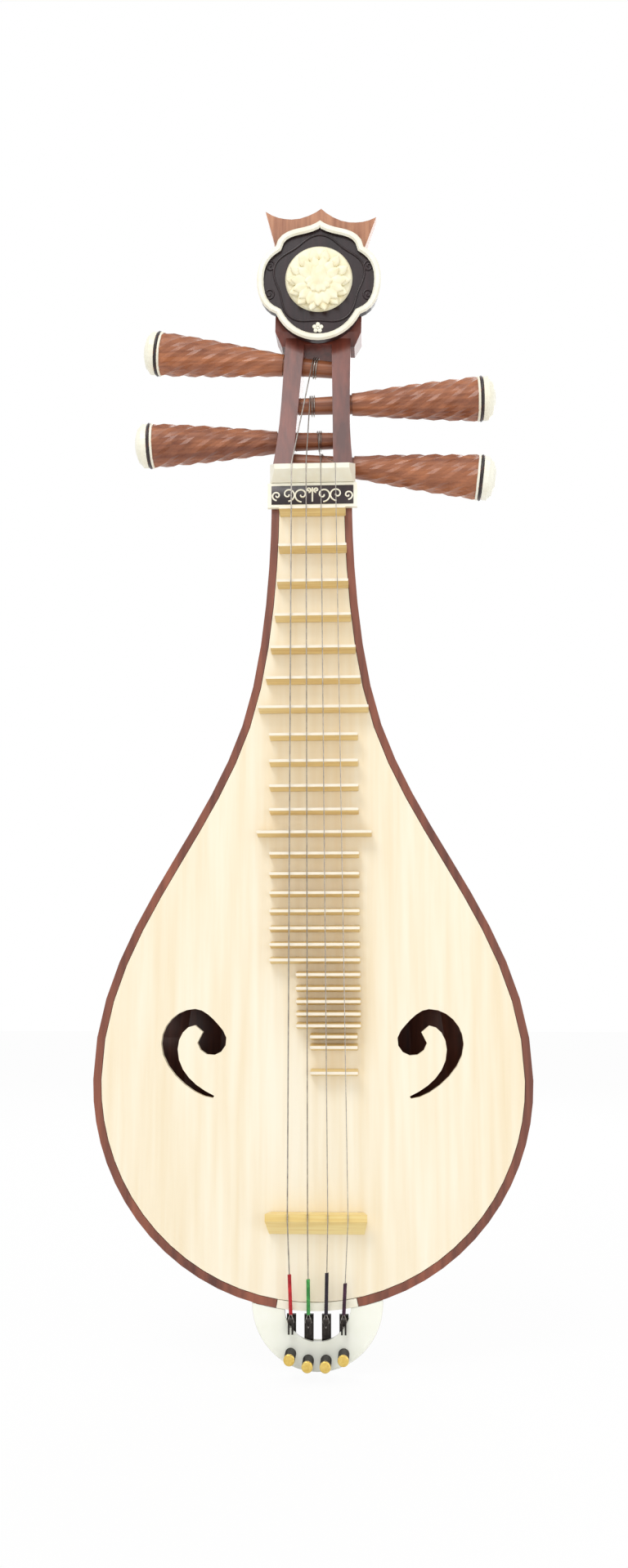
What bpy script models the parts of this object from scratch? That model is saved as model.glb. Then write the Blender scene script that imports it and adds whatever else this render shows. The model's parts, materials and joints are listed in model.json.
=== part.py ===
"""A four-string pear-shaped lute, upright, head at +Z and face towards -Y.

The origin is on the neck's front face, level with the lower edge of the nut plate, where a
wall yoke carries the neck under the lower pegs. The soundboard's front face is the plane y = 0.
"""

from math import acos, atan2, ceil, cos, hypot, pi, radians, sin

import bmesh
import bpy
from mathutils import Matrix, Vector
from mathutils.geometry import interpolate_bezier

# Clearances between pieces that touch on the real lute
GAP = 0.0003
PEG_HOLE_GAP = 0.0003
PIN_GAP = 0.00025
SCREW_HOLE_GAP = 0.0003

# Body outline, seen from the front
NECK_HALF_WIDTH = 0.0231
NECK_END_Z = 0.006
BOUT_RADIUS = 0.118
NUT_FRONT_Z = 0.020
STRING_LENGTH = 0.410
BRIDGE_Z = NUT_FRONT_Z - STRING_LENGTH
BOUT_ABOVE_BRIDGE = 0.070
BOUT_CENTRE_Z = BRIDGE_Z + BOUT_ABOVE_BRIDGE
BODY_END_Z = BOUT_CENTRE_Z - BOUT_RADIUS
BOUT_HANDLE = 0.0767
FLANK_HALF_WIDTH = 0.0388
FLANK_ABOVE_BOUT = 0.194
FLANK_Z = BOUT_CENTRE_Z + FLANK_ABOVE_BOUT
FLANK_SLOPE = 0.33
FLANK_LOWER_HANDLE = 0.0713
FLANK_UPPER_HANDLE = 0.0508
TAIL_FLAT_ANGLE = radians(3)

# Body depth and walls
NECK_DEPTH = 0.026
BODY_DEPTH = 0.057
DEPTH_START_Z = -0.050
DEPTH_FULL_ABOVE_BOUT = 0.030
DEPTH_FULL_Z = BOUT_CENTRE_Z + DEPTH_FULL_ABOVE_BOUT
BACK_ROUNDNESS = 2.4
BACK_THICKNESS = 0.006
RIM_WIDTH = 0.0042
LEDGE_WIDTH = 0.0035
CAVITY_TOP_Z = -0.095
BOARD_THICKNESS = 0.0045
BOARD_TOP_Z = 0.004
CUT_MARGIN = 0.002

# Sound holes, one hooked drop mirrored about the centreline
HOLE_BALL_X = 0.0540
HOLE_BALL_ABOVE_BOUT = 0.0210
HOLE_BALL_Z = BOUT_CENTRE_Z + HOLE_BALL_ABOVE_BOUT
HOLE_BALL_RADIUS = 0.0080
HOLE_CROWN_X = 0.0632
HOLE_CROWN_ABOVE_BOUT = 0.0377
HOLE_CROWN_Z = BOUT_CENTRE_Z + HOLE_CROWN_ABOVE_BOUT
HOLE_OUTER_X = 0.0815
HOLE_OUTER_ABOVE_BOUT = 0.0190
HOLE_OUTER_Z = BOUT_CENTRE_Z + HOLE_OUTER_ABOVE_BOUT
HOLE_TIP_X = 0.0530
HOLE_TIP_ABOVE_BOUT = -0.0095
HOLE_TIP_Z = BOUT_CENTRE_Z + HOLE_TIP_ABOVE_BOUT
HOLE_INNER_TOP_ABOVE_BOUT = 0.0289
HOLE_INNER_TOP_Z = BOUT_CENTRE_Z + HOLE_INNER_TOP_ABOVE_BOUT
HOLE_INNER_X = 0.0724
HOLE_INNER_ABOVE_BOUT = 0.0162
HOLE_INNER_Z = BOUT_CENTRE_Z + HOLE_INNER_ABOVE_BOUT

# Braces under the soundboard
BRACE_WIDTH = 0.008
BRACE_HEIGHT = 0.010
BRACE_END_GAP = 0.0014
UPPER_BRACE_ABOVE_BOUT = 0.095
UPPER_BRACE_Z = BOUT_CENTRE_Z + UPPER_BRACE_ABOVE_BOUT
LOWER_BRACE_BELOW_BOUT = 0.045
LOWER_BRACE_Z = BOUT_CENTRE_Z - LOWER_BRACE_BELOW_BOUT

# The playing line leans a little to the right on its way to the tail
LINE_X_AT_NUT = 0.0005
LINE_X_AT_TAIL = 0.0030
STRING_BAND_SHIFT = 0.0010

# Nut, nut plate and bridge
NUT_TOP_LENGTH = 0.003
NUT_BASE_BELOW = 0.005
NUT_BASE_ABOVE = 0.004
NUT_HALF_WIDTH = 0.0246
NUT_TOP_HALF_WIDTH = 0.0212
NUT_HEIGHT = 0.0116
PLATE_HALF_WIDTH = 0.0256
PLATE_LENGTH = 0.0145
PLATE_THICKNESS = 0.003
BRIDGE_HEIGHT = 0.0122
BRIDGE_TOP_LENGTH = 0.0037
BRIDGE_SLOPE_LENGTH = 0.0080
BRIDGE_HALF_WIDTH = 0.0249
BRIDGE_HORN = 0.0017

# Frets: 26 steps of the twelve-tone scale and a last fret that stands apart
FRET_COUNT = 27
FRET_SCALE_STRETCH = 0.0057
FRET_SCALE = STRING_LENGTH + FRET_SCALE_STRETCH
LAST_FRET_STEP = 28.7
FRET_TOP_LENGTH = 0.0015
FRET_BASE_LENGTH = 0.0038
FRET_CORNER = 0.0011
FRET_CLEARANCE_FIRST = 0.0012
FRET_CLEARANCE_LAST = 0.0034
NECK_FRET_HALF_WIDTHS = (0.0188, 0.0192, 0.0200, 0.0213, 0.0237, 0.0263, 0.0305)
BOARD_FRET_HALF_WIDTH = 0.0244
OCTAVE_FRET_HALF_WIDTH = 0.0314
OCTAVE_FRET = 12
SHORT_FRET_START = 20
SHORT_FRET_LENGTH = 0.0346
SHORTEST_FRET_START = 25
SHORTEST_FRET_LENGTH = 0.0254
SHORTEST_FRET_INSET = 0.0018

# Strings, from the thick left one to the thin right one
STRING_RADII = (0.00038, 0.00034, 0.00028, 0.00024)
STRING_SPACING_NUT = 0.0083
STRING_SPACING_BRIDGE = 0.0105
STRING_TAIL_SPACING = 0.0092
STRING_SEAT_GAP = 0.0003
WINDING_TURNS = (2.4, 2.4, 2.4, 1.4)
WINDING_PLACES = (-0.0030, -0.0036, 0.0015, 0.0035)
WINDING_STEP_GAP = 0.00055
WINDING_SEAT_GAP = 0.00035
POINTS_PER_TURN = 24
STRING_END_BELOW_BODY = 0.0015
STRING_END_Z = BODY_END_Z - STRING_END_BELOW_BODY
STRING_TAIL_LIFT = 0.0016

# Headstock: it leans back from the nut and a little to the right
HEAD_LEAN = radians(12)
HEAD_SIDE_LEAN = radians(1.5)
HEAD_START_Z = 0.024
PEGBOX_HALF_FOOT = 0.0234
PEGBOX_HALF_MIDDLE = 0.0201
PEGBOX_HALF_TOP = 0.0194
PEGBOX_MIDDLE = 0.046
PEGBOX_LENGTH = 0.094
PEGBOX_DEPTH_FOOT = 0.0235
PEGBOX_DEPTH_TOP = 0.0175
SLOT_FOOT = 0.0045
SLOT_TOP_WALL = 0.0057
SLOT_TOP = PEGBOX_LENGTH - SLOT_TOP_WALL
SLOT_HALF_FOOT = 0.0117
SLOT_HALF_TOP = 0.0082

# Head ornament plane: it faces forward and a little down
ORNAMENT_TILT = radians(-5)
ORNAMENT_BELOW_PEGBOX_TOP = 0.0063
ORNAMENT_LENGTH_UP = PEGBOX_LENGTH - ORNAMENT_BELOW_PEGBOX_TOP
HEAD_PLATE_THICKNESS = 0.005
RIM_TUBE_RADIUS = 0.0020
RIM_FLATNESS = 0.7
LOBE_RADIUS = 0.0275
NOTCH_HALF_WIDTH = 0.0250
NOTCH_HEIGHT = 0.0160
SIDE_LOBE_HALF_WIDTH = 0.0370
SIDE_LOBE_HEIGHT = 0.0376
SHOULDER_HALF_WIDTH = 0.0262
SHOULDER_HEIGHT = 0.0572
OGEE_HALF_WIDTH = 0.0125
OGEE_HEIGHT = 0.0685
APEX_HEIGHT = 0.0734
LOTUS_RADIUS = 0.0205
LOTUS_HEIGHT_UP = 0.0378
LOTUS_DISC = 0.0014
LOTUS_RELIEF = 0.0042

# Head block and crown behind the ornament
BLOCK_HALF_WIDTH = 0.0258
BLOCK_CHAMFER = 0.008
CROWN_FOOT_HALF_WIDTH = 0.0262
CROWN_FOOT_HEIGHT = 0.058
CROWN_HALF_WIDTH = 0.0334
CROWN_TIP_HEIGHT = 0.0805
CROWN_APEX_HEIGHT = 0.0841
CROWN_DIP_HEIGHT = 0.0765
CROWN_DIP_SHARE = 0.52
CROWN_TURN = radians(-3)
CROWN_DEPTH = 0.007
BLOCK_DEPTH = 0.0195

# Pegs: distance up the pegbox, side, fan angle of the outer end
UPPER_PEGS_BELOW_SLOT_TOP = (0.0103, 0.0366)
LOWER_PEG_UPS = (0.0273, 0.0120)
PEG_UPS = (*(SLOT_TOP - drop for drop in UPPER_PEGS_BELOW_SLOT_TOP), *LOWER_PEG_UPS)
PEG_SIDES = (-1, 1, -1, 1)
PEG_FANS = (radians(6.3), radians(3.4), radians(-2.3), radians(-5.0))
PEG_NAMES = ("upper_left", "upper_right", "lower_left", "lower_right")
PEG_DEPTH_SHARE = 0.54
PEG_BLIND = 0.0065
PEG_END_RADIUS = 0.0046
PEG_WALL_RADIUS = 0.0057
PEG_NECK_RADIUS = 0.0065
PEG_BIG_RADIUS = 0.0133
PEG_SHOULDER_GAP = 0.0012
PEG_REACH = 0.0985
PEG_FLUTES = 8
FLUTE_DEPTH = 0.0013
FLUTE_FADE = 0.022
PEG_TWIST_TURNS = 0.85
POINTS_PER_FLUTE = 3
PEG_RINGS = 16
CAP_RING_LENGTH = 0.0035
CAP_DOME = 0.0042
CAP_RADIUS = 0.0128

# Tailpiece, a half-moon plate under the body's end
TAILPIECE_RADIUS = 0.0344
TAILPIECE_ABOVE_BODY_END = 0.004
TAILPIECE_Z = BODY_END_Z + TAILPIECE_ABOVE_BODY_END
TAILPIECE_THICKNESS = 0.0075
TAILPIECE_EDGE = 0.0012
ARCH_RADIUS = 0.0174
ARCH_ABOVE_BODY_END = 0.002
ARCH_Z = BODY_END_Z + ARCH_ABOVE_BODY_END
SKIN_THICKNESS = 0.0022
POCKET_RADIUS = 0.0316
POCKET_HALF_WIDTH = 0.0172
PIN_RADIUS = 0.0009
PIN_BELOW_BODY_END = 0.016
PIN_Z = BODY_END_Z - PIN_BELOW_BODY_END
INLAY_HALF_ANGLE = radians(10.45)
INLAY_DEPTH = 0.004

# Fine tuners: a screw that pushes the tail of a hooked lever
TUNER_SPACING = 0.0092
SCREW_CIRCLE = 0.0283
SCREW_RADIUS = 0.0012
KNOB_RADIUS = 0.0029
KNOB_LENGTH = 0.0135
KNOB_LIFT = 0.0016
KNOB_CAP_EDGE = 0.0005
LEVER_HALF_WIDTH = 0.0024
LEVER_THICKNESS = 0.0025
LEVER_BELOW_BODY_END = 0.0026
LEVER_TOP_Z = BODY_END_Z - LEVER_BELOW_BODY_END
LEVER_FRONT_GAP = 0.0019
LEVER_TAIL_PAST_SCREW = 0.0018
HOOK_HALF_WIDTH = 0.0014
HOOK_TOP_DROP = 0.0010
HOOK_THICKNESS = 0.0020
HOOK_REACH = 0.0033
HOOK_LIP_THICKNESS = 0.0013
HOOK_LIP_LENGTH = 0.0074
FORK_HALF_WIDTH = 0.0005

# Directions in the head's plane: up it, and back into it
HEAD_SPIN = Matrix.Rotation(HEAD_SIDE_LEAN, 3, "Y") @ Matrix.Rotation(-HEAD_LEAN, 3, "X")
HEAD_UP = HEAD_SPIN @ Vector((0, 0, 1))
HEAD_BACK = HEAD_SPIN @ Vector((0, 1, 0))
HEAD_SIDE = HEAD_SPIN @ Vector((1, 0, 0))
HEAD_START = Vector((LINE_X_AT_NUT, 0, HEAD_START_Z))


def playing_line(z):
    """The x of the playing line at height z."""
    share = (NUT_FRONT_Z - z) / (NUT_FRONT_Z - TAILPIECE_Z)
    return LINE_X_AT_NUT + (LINE_X_AT_TAIL - LINE_X_AT_NUT) * share


TAIL_X = playing_line(TAILPIECE_Z)


def start_scene():
    """Empties the scene and makes the collections for the parts and the cutters."""
    for thing in list(bpy.data.objects):
        bpy.data.objects.remove(thing, do_unlink=True)
    made = {}
    for name in ("liuqin", "cutters"):
        made[name] = bpy.data.collections.new(name)
        bpy.context.scene.collection.children.link(made[name])
    return made


COLLECTIONS = start_scene()


def make_material(name, colour, roughness, metallic=0.0):
    """A plain Principled material."""
    made = bpy.data.materials.new(name)
    made.use_nodes = True
    shader = made.node_tree.nodes["Principled BSDF"]
    shader.inputs["Base Color"].default_value = (*colour, 1.0)
    shader.inputs["Roughness"].default_value = roughness
    shader.inputs["Metallic"].default_value = metallic
    made.diffuse_color = (*colour, 1.0)
    return made


ROSEWOOD = make_material("rosewood", (0.20, 0.05, 0.03), 0.4)
PEGWOOD = make_material("pegwood", (0.30, 0.09, 0.04), 0.4)
PAULOWNIA = make_material("paulownia", (0.86, 0.76, 0.58), 0.65)
SPRUCE = make_material("spruce", (0.70, 0.55, 0.35), 0.7)
BAMBOO = make_material("bamboo", (0.72, 0.55, 0.26), 0.5)
EBONY = make_material("ebony", (0.045, 0.02, 0.022), 0.35)
BONE = make_material("bone", (0.88, 0.83, 0.66), 0.35)
PLASTIC = make_material("tail_plastic", (0.83, 0.86, 0.74), 0.3)
STEEL = make_material("string_steel", (0.55, 0.53, 0.50), 0.3, 1.0)
BLACK_METAL = make_material("black_metal", (0.03, 0.025, 0.025), 0.4, 1.0)
GOLD = make_material("gold", (0.85, 0.62, 0.20), 0.3, 1.0)


def link(thing, material, collection="liuqin"):
    """Puts an object in its collection and gives it its material."""
    COLLECTIONS[collection].objects.link(thing)
    if material:
        thing.data.materials.append(material)
    if collection == "cutters":
        thing.hide_render = True
        thing.display_type = "WIRE"
    return thing


def mesh_object(name, form, material, collection="liuqin", smooth=True):
    """An object from a bmesh, with outward faces."""
    bmesh.ops.recalc_face_normals(form, faces=form.faces)
    mesh = bpy.data.meshes.new(name)
    form.to_mesh(mesh)
    form.free()
    if smooth:
        mesh.shade_smooth()
        mesh.set_sharp_from_angle(angle=radians(35))
    return link(bpy.data.objects.new(name, mesh), material, collection)


def loft(name, rings, material, collection="liuqin"):
    """A closed solid through rings that have the same number of points."""
    form = bmesh.new()
    rows = [[form.verts.new(point) for point in ring] for ring in rings]
    for row, following in zip(rows, rows[1:]):
        for i in range(len(row)):
            j = (i + 1) % len(row)
            form.faces.new((row[i], row[j], following[j], following[i]))
    form.faces.new(rows[0])
    form.faces.new(rows[-1])
    return mesh_object(name, form, material, collection)


def mesh_from_curve(thing, material, collection="liuqin"):
    """Replaces a curve object by its mesh with the caps welded on."""
    bpy.context.view_layer.update()
    evaluated = thing.evaluated_get(bpy.context.evaluated_depsgraph_get())
    mesh = bpy.data.meshes.new_from_object(evaluated)
    place = thing.matrix_world.copy()
    name = thing.name
    bpy.data.objects.remove(thing, do_unlink=True)
    form = bmesh.new()
    form.from_mesh(mesh)
    bmesh.ops.remove_doubles(form, verts=form.verts, dist=1e-6)
    bmesh.ops.transform(form, matrix=place, verts=form.verts)
    bmesh.ops.recalc_face_normals(form, faces=form.faces)
    mesh.materials.clear()
    form.to_mesh(mesh)
    form.free()
    mesh.name = name
    return link(bpy.data.objects.new(name, mesh), material, collection)


def plate(name, outline, low, high, place, material, collection="liuqin"):
    """A flat outline in its own XY plane, thick from low to high along its Z, set in place."""
    data = bpy.data.curves.new(name, "CURVE")
    data.dimensions = "2D"
    data.fill_mode = "BOTH"
    data.extrude = (high - low) / 2
    spline = data.splines.new("POLY")
    spline.points.add(len(outline) - 1)
    for point, (x, y) in zip(spline.points, outline):
        point.co = (x, y, 0, 1)
    spline.use_cyclic_u = True
    thing = bpy.data.objects.new(name, data)
    COLLECTIONS[collection].objects.link(thing)
    thing.matrix_world = place @ Matrix.Translation((0, 0, (low + high) / 2))
    return mesh_from_curve(thing, material, collection)


def tube(name, points, radius, material, resolution=1, cyclic=False, collection="liuqin"):
    """A round tube along a list of points."""
    data = bpy.data.curves.new(name, "CURVE")
    data.dimensions = "3D"
    data.bevel_depth = radius
    data.bevel_resolution = resolution
    data.use_fill_caps = True
    spline = data.splines.new("POLY")
    spline.points.add(len(points) - 1)
    for spot, point in zip(spline.points, points):
        spot.co = (*point, 1)
    spline.use_cyclic_u = cyclic
    spline.use_smooth = True
    thing = bpy.data.objects.new(name, data)
    COLLECTIONS[collection].objects.link(thing)
    return thing


def cylinder(name, start, end, radius, steps, material, collection="liuqin"):
    """A plain cylinder between two points."""
    start = Vector(start)
    end = Vector(end)
    turn = (end - start).to_track_quat("Z", "Y").to_matrix().to_4x4()
    form = bmesh.new()
    bmesh.ops.create_cone(
        form,
        cap_ends=True,
        segments=steps,
        radius1=radius,
        radius2=radius,
        depth=(end - start).length,
        matrix=Matrix.Translation((start + end) / 2) @ turn,
    )
    return mesh_object(name, form, material, collection)


def turned(name, profile, steps, material, place):
    """A turned solid: a profile of (radius, height) from top to bottom, spun about its Z axis."""
    mesh = bpy.data.meshes.new(name)
    points = [(radius, 0, height) for radius, height in profile]
    mesh.from_pydata(points, [(i, i + 1) for i in range(len(points) - 1)], [])
    thing = link(bpy.data.objects.new(name, mesh), material)
    screw = thing.modifiers.new("turn", "SCREW")
    screw.steps = steps
    screw.render_steps = steps
    screw.use_merge_vertices = True
    screw.merge_threshold = 0.00001
    thing.matrix_world = place
    return thing


def combine(target, other, operation):
    """Adds, cuts or keeps what is common, and leaves the result as the target's own mesh."""
    cut = target.modifiers.new(other.name, "BOOLEAN")
    cut.operation = operation
    cut.solver = "EXACT"
    cut.object = other
    bpy.context.view_layer.update()
    evaluated = target.evaluated_get(bpy.context.evaluated_depsgraph_get())
    mesh = bpy.data.meshes.new_from_object(evaluated)
    target.modifiers.clear()
    target.data = mesh
    bpy.data.objects.remove(other, do_unlink=True)
    form = bmesh.new()
    form.from_mesh(mesh)
    bmesh.ops.triangulate(form, faces=form.faces)
    bmesh.ops.remove_doubles(form, verts=form.verts, dist=1e-7)
    form.to_mesh(mesh)
    form.free()
    return target


def put_origin(thing, point):
    """Moves an object's origin to a point and leaves its shape where it is."""
    point = Vector(point)
    thing.data.transform(Matrix.Translation(-point) @ thing.matrix_world)
    thing.matrix_world = Matrix.Translation(point)


# Body

# A plate drawn in the x-z plane: its Y is world Z and its thickness runs back along +Y
FACING = Matrix(((1, 0, 0, 0), (0, 0, 1, 0), (0, 1, 0, 0), (0, 0, 0, 1)))


def curve_points(start, first, second, end, count):
    """Points along one Bezier stretch, as (x, z) pairs, without its start."""
    spots = interpolate_bezier(
        Vector((*start, 0)), Vector((*first, 0)), Vector((*second, 0)), Vector((*end, 0)), count + 1
    )
    return [(spot.x, spot.y) for spot in spots[1:]]


def half_outline():
    """The body's right half from the tail up to the neck's end, as (half width, z)."""
    steps = 16
    points = []
    for i in range(steps + 1):
        angle = TAIL_FLAT_ANGLE + (pi / 2 - TAIL_FLAT_ANGLE) * i / steps
        points.append((BOUT_RADIUS * sin(angle), BOUT_CENTRE_Z - BOUT_RADIUS * cos(angle)))
    widest = (BOUT_RADIUS, BOUT_CENTRE_Z)
    flank = (FLANK_HALF_WIDTH, FLANK_Z)
    size = hypot(FLANK_SLOPE, 1)
    out = FLANK_SLOPE / size
    down = 1 / size
    below = (flank[0] + out * FLANK_LOWER_HANDLE, flank[1] - down * FLANK_LOWER_HANDLE)
    above = (flank[0] - out * FLANK_UPPER_HANDLE, flank[1] + down * FLANK_UPPER_HANDLE)
    rising = (widest[0], widest[1] + BOUT_HANDLE)
    points += curve_points(widest, rising, below, flank, 10)
    points += curve_points(flank, above, (NECK_HALF_WIDTH, 0), (NECK_HALF_WIDTH, 0), 7)
    points.append((NECK_HALF_WIDTH, NECK_END_Z))
    return points


def inset(points, distance):
    """The half outline moved inwards by a distance, with its neck end left at its height."""
    moved = []
    for i, (x, z) in enumerate(points):
        before = points[i - 1] if i else (-x, z)
        after = points[i + 1] if i + 1 < len(points) else (x, z + NECK_HALF_WIDTH)
        along = Vector((after[0] - before[0], after[1] - before[1])).normalized()
        moved.append((x - along.y * distance, z + along.x * distance))
    moved[-1] = (moved[-1][0], points[-1][1])
    return moved


def width_at(points, z):
    """The half width of a half outline at height z."""
    for (x0, z0), (x1, z1) in zip(points, points[1:]):
        if z0 <= z <= z1:
            return x0 + (x1 - x0) * (z - z0) / (z1 - z0)
    return points[-1][0]


def closed(points, top=None):
    """The whole outline from its half, cut level at top."""
    kept = [(x, z) for x, z in points if top is None or z < top - GAP]
    if top is not None:
        kept.append((width_at(points, top), top))
    return kept + [(-x, z) for x, z in reversed(kept)]


def body_depth(z):
    """How deep the back is at height z."""
    if z < BOUT_CENTRE_Z:
        fall = min(1.0, (BOUT_CENTRE_Z - z) / BOUT_RADIUS)
        return BODY_DEPTH * (1 - fall**BACK_ROUNDNESS) ** (1 / BACK_ROUNDNESS)
    share = (DEPTH_START_Z - z) / (DEPTH_START_Z - DEPTH_FULL_Z)
    share = max(0.0, min(1.0, share))
    return NECK_DEPTH + (BODY_DEPTH - NECK_DEPTH) * share * share * (3 - 2 * share)


def back_section(half_width, depth, z, front):
    """One cross-section of the rounded back: a rounded U closed by a flat front."""
    steps = 14
    ring = [(half_width, -front, z)] if front else []
    for i in range(steps + 1):
        angle = pi * i / steps
        reach = abs(cos(angle)) ** (2 / BACK_ROUNDNESS)
        side = half_width if angle < pi / 2 else -half_width
        ring.append((side * reach, depth * abs(sin(angle)) ** (2 / BACK_ROUNDNESS), z))
    if front:
        ring.append((-half_width, -front, z))
    return ring


def make_body():
    """The carved back with its neck, the soundboard let into its rim, and the two braces."""
    outline = half_outline()
    rings = [back_section(x, body_depth(z), z, 0) for x, z in outline]
    shell = loft("back_shell", rings, ROSEWOOD)

    hollow = inset(outline, RIM_WIDTH + LEDGE_WIDTH)
    stations = [(x, z) for x, z in hollow if z < CAVITY_TOP_Z - GAP]
    stations.append((width_at(hollow, CAVITY_TOP_Z), CAVITY_TOP_Z))
    rings = [back_section(x, body_depth(z) - BACK_THICKNESS, z, CUT_MARGIN) for x, z in stations]
    combine(shell, loft("cavity", rings, None, "cutters"), "DIFFERENCE")

    seat = closed(inset(outline, RIM_WIDTH), BOARD_TOP_Z + GAP)
    floor = BOARD_THICKNESS + GAP
    recess = plate("board_recess", seat, -CUT_MARGIN, floor, FACING, None, "cutters")
    combine(shell, recess, "DIFFERENCE")
    notch = inlay_outline(BOUT_RADIUS + CUT_MARGIN, RIM_WIDTH + GAP / 2, GAP / BOUT_RADIUS)
    depth = INLAY_DEPTH + GAP
    cutter = plate("inlay_notch", notch, -CUT_MARGIN, depth, FACING, None, "cutters")
    combine(shell, cutter, "DIFFERENCE")

    edge = closed(inset(outline, RIM_WIDTH + GAP), BOARD_TOP_Z)
    board = plate("soundboard", edge, 0, BOARD_THICKNESS, FACING, PAULOWNIA)
    for side in (-1, 1):
        outline_of_hole = [(x * side, z) for x, z in sound_hole()]
        low, high = -CUT_MARGIN, BOARD_THICKNESS + CUT_MARGIN
        hole = plate("sound_hole", outline_of_hole, low, high, FACING, None, "cutters")
        combine(board, hole, "DIFFERENCE")

    strip = inlay_outline(BOUT_RADIUS, RIM_WIDTH, 0)
    plate("tail_inlay", strip, 0, INLAY_DEPTH, FACING, BONE)

    for name, z in (("upper_brace", UPPER_BRACE_Z), ("lower_brace", LOWER_BRACE_Z)):
        make_brace(name, z, hollow)
    return outline


def inlay_outline(outer, width, spare):
    """The bone strip in the tail's rim: an arc about the bout's centre."""
    steps = 6
    middle = atan2(TAIL_X, BOUT_RADIUS)
    inner = BOUT_RADIUS - width
    points = []
    for radius, order in ((outer, range(steps + 1)), (inner, range(steps, -1, -1))):
        for i in order:
            angle = middle + (INLAY_HALF_ANGLE + spare) * (2 * i / steps - 1)
            points.append((radius * sin(angle), BOUT_CENTRE_Z - radius * cos(angle)))
    return points


def sound_hole():
    """The right-hand sound hole: a ball whose hook sweeps over, out and down to a point."""
    ball = (HOLE_BALL_X, HOLE_BALL_Z)
    points = []
    for degrees in range(-10, -221, -30):
        angle = radians(degrees)
        x = ball[0] + HOLE_BALL_RADIUS * cos(angle)
        points.append((x, ball[1] + HOLE_BALL_RADIUS * sin(angle)))
    crown = (HOLE_CROWN_X, HOLE_CROWN_Z)
    outer = (HOLE_OUTER_X, HOLE_OUTER_Z)
    tip = (HOLE_TIP_X, HOLE_TIP_Z)
    inner_top = (HOLE_CROWN_X, HOLE_INNER_TOP_Z)
    inner = (HOLE_INNER_X, HOLE_INNER_Z)
    end = points[-1]
    swing = 0.55 * (outer[0] - crown[0])
    rise = 0.55 * (crown[1] - outer[1])
    points += curve_points(
        end, (end[0] + 0.003, end[1] + 0.0036), (crown[0] - 0.006, crown[1]), crown, 5
    )
    points += curve_points(
        crown, (crown[0] + swing, crown[1]), (outer[0], outer[1] + rise), outer, 6
    )
    points += curve_points(
        outer, (outer[0], outer[1] - 0.0135), (tip[0] + 0.010, tip[1] + 0.0002), tip, 7
    )
    points.append((tip[0] - 0.0007, tip[1] + 0.0012))
    back = points[-1]
    points += curve_points(
        back, (back[0] + 0.010, back[1] + 0.0045), (inner[0], inner[1] - 0.012), inner, 6
    )
    points += curve_points(
        inner, (inner[0], inner[1] + 0.007), (inner_top[0] + 0.005, inner_top[1]), inner_top, 4
    )
    points.append((ball[0] + HOLE_BALL_RADIUS * 0.62, ball[1] + HOLE_BALL_RADIUS * 0.55))
    return points


def make_brace(name, z, hollow):
    """A bar across the soundboard's back, between the body's walls."""
    low = min(width_at(hollow, z - BRACE_WIDTH / 2), width_at(hollow, z + BRACE_WIDTH / 2))
    depth = body_depth(z) - BACK_THICKNESS
    share = min(1.0, (BOARD_THICKNESS + BRACE_HEIGHT) / depth)
    narrowing = (1 - share**BACK_ROUNDNESS) ** (1 / BACK_ROUNDNESS)
    half = low - BRACE_END_GAP
    tip = low * narrowing - BRACE_END_GAP
    top = BOARD_THICKNESS + GAP
    foot = top + BRACE_HEIGHT - GAP
    profile = [(-half, top), (half, top), (tip, foot), (-tip, foot)]
    across = Matrix(((1, 0, 0, 0), (0, 1, 0, 0), (0, 0, 1, z), (0, 0, 0, 1)))
    plate(name, profile, -BRACE_WIDTH / 2, BRACE_WIDTH / 2, across, SPRUCE)


# Nut, bridge and frets

# A profile drawn in the y-z plane: its thickness runs along +X
SIDEWAYS = Matrix(((0, 0, 1, 0), (1, 0, 0, 0), (0, 1, 0, 0), (0, 0, 0, 1)))


def tapered_block(name, profile, base_half, top_half, height, centre_x, material):
    """A y-z profile run along X, narrowing or widening from its base to its top."""
    form = bmesh.new()
    for side in (-1, 1):
        ring = []
        for y, z in profile:
            half = base_half + (top_half - base_half) * min(1.0, -y / height)
            ring.append(form.verts.new((centre_x + side * half, y, z)))
        form.faces.new(ring)
    form.verts.ensure_lookup_table()
    count = len(profile)
    for i in range(count):
        j = (i + 1) % count
        corners = (i, j, count + j, count + i)
        form.faces.new([form.verts[k] for k in corners])
    return mesh_object(name, form, material)


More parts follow.
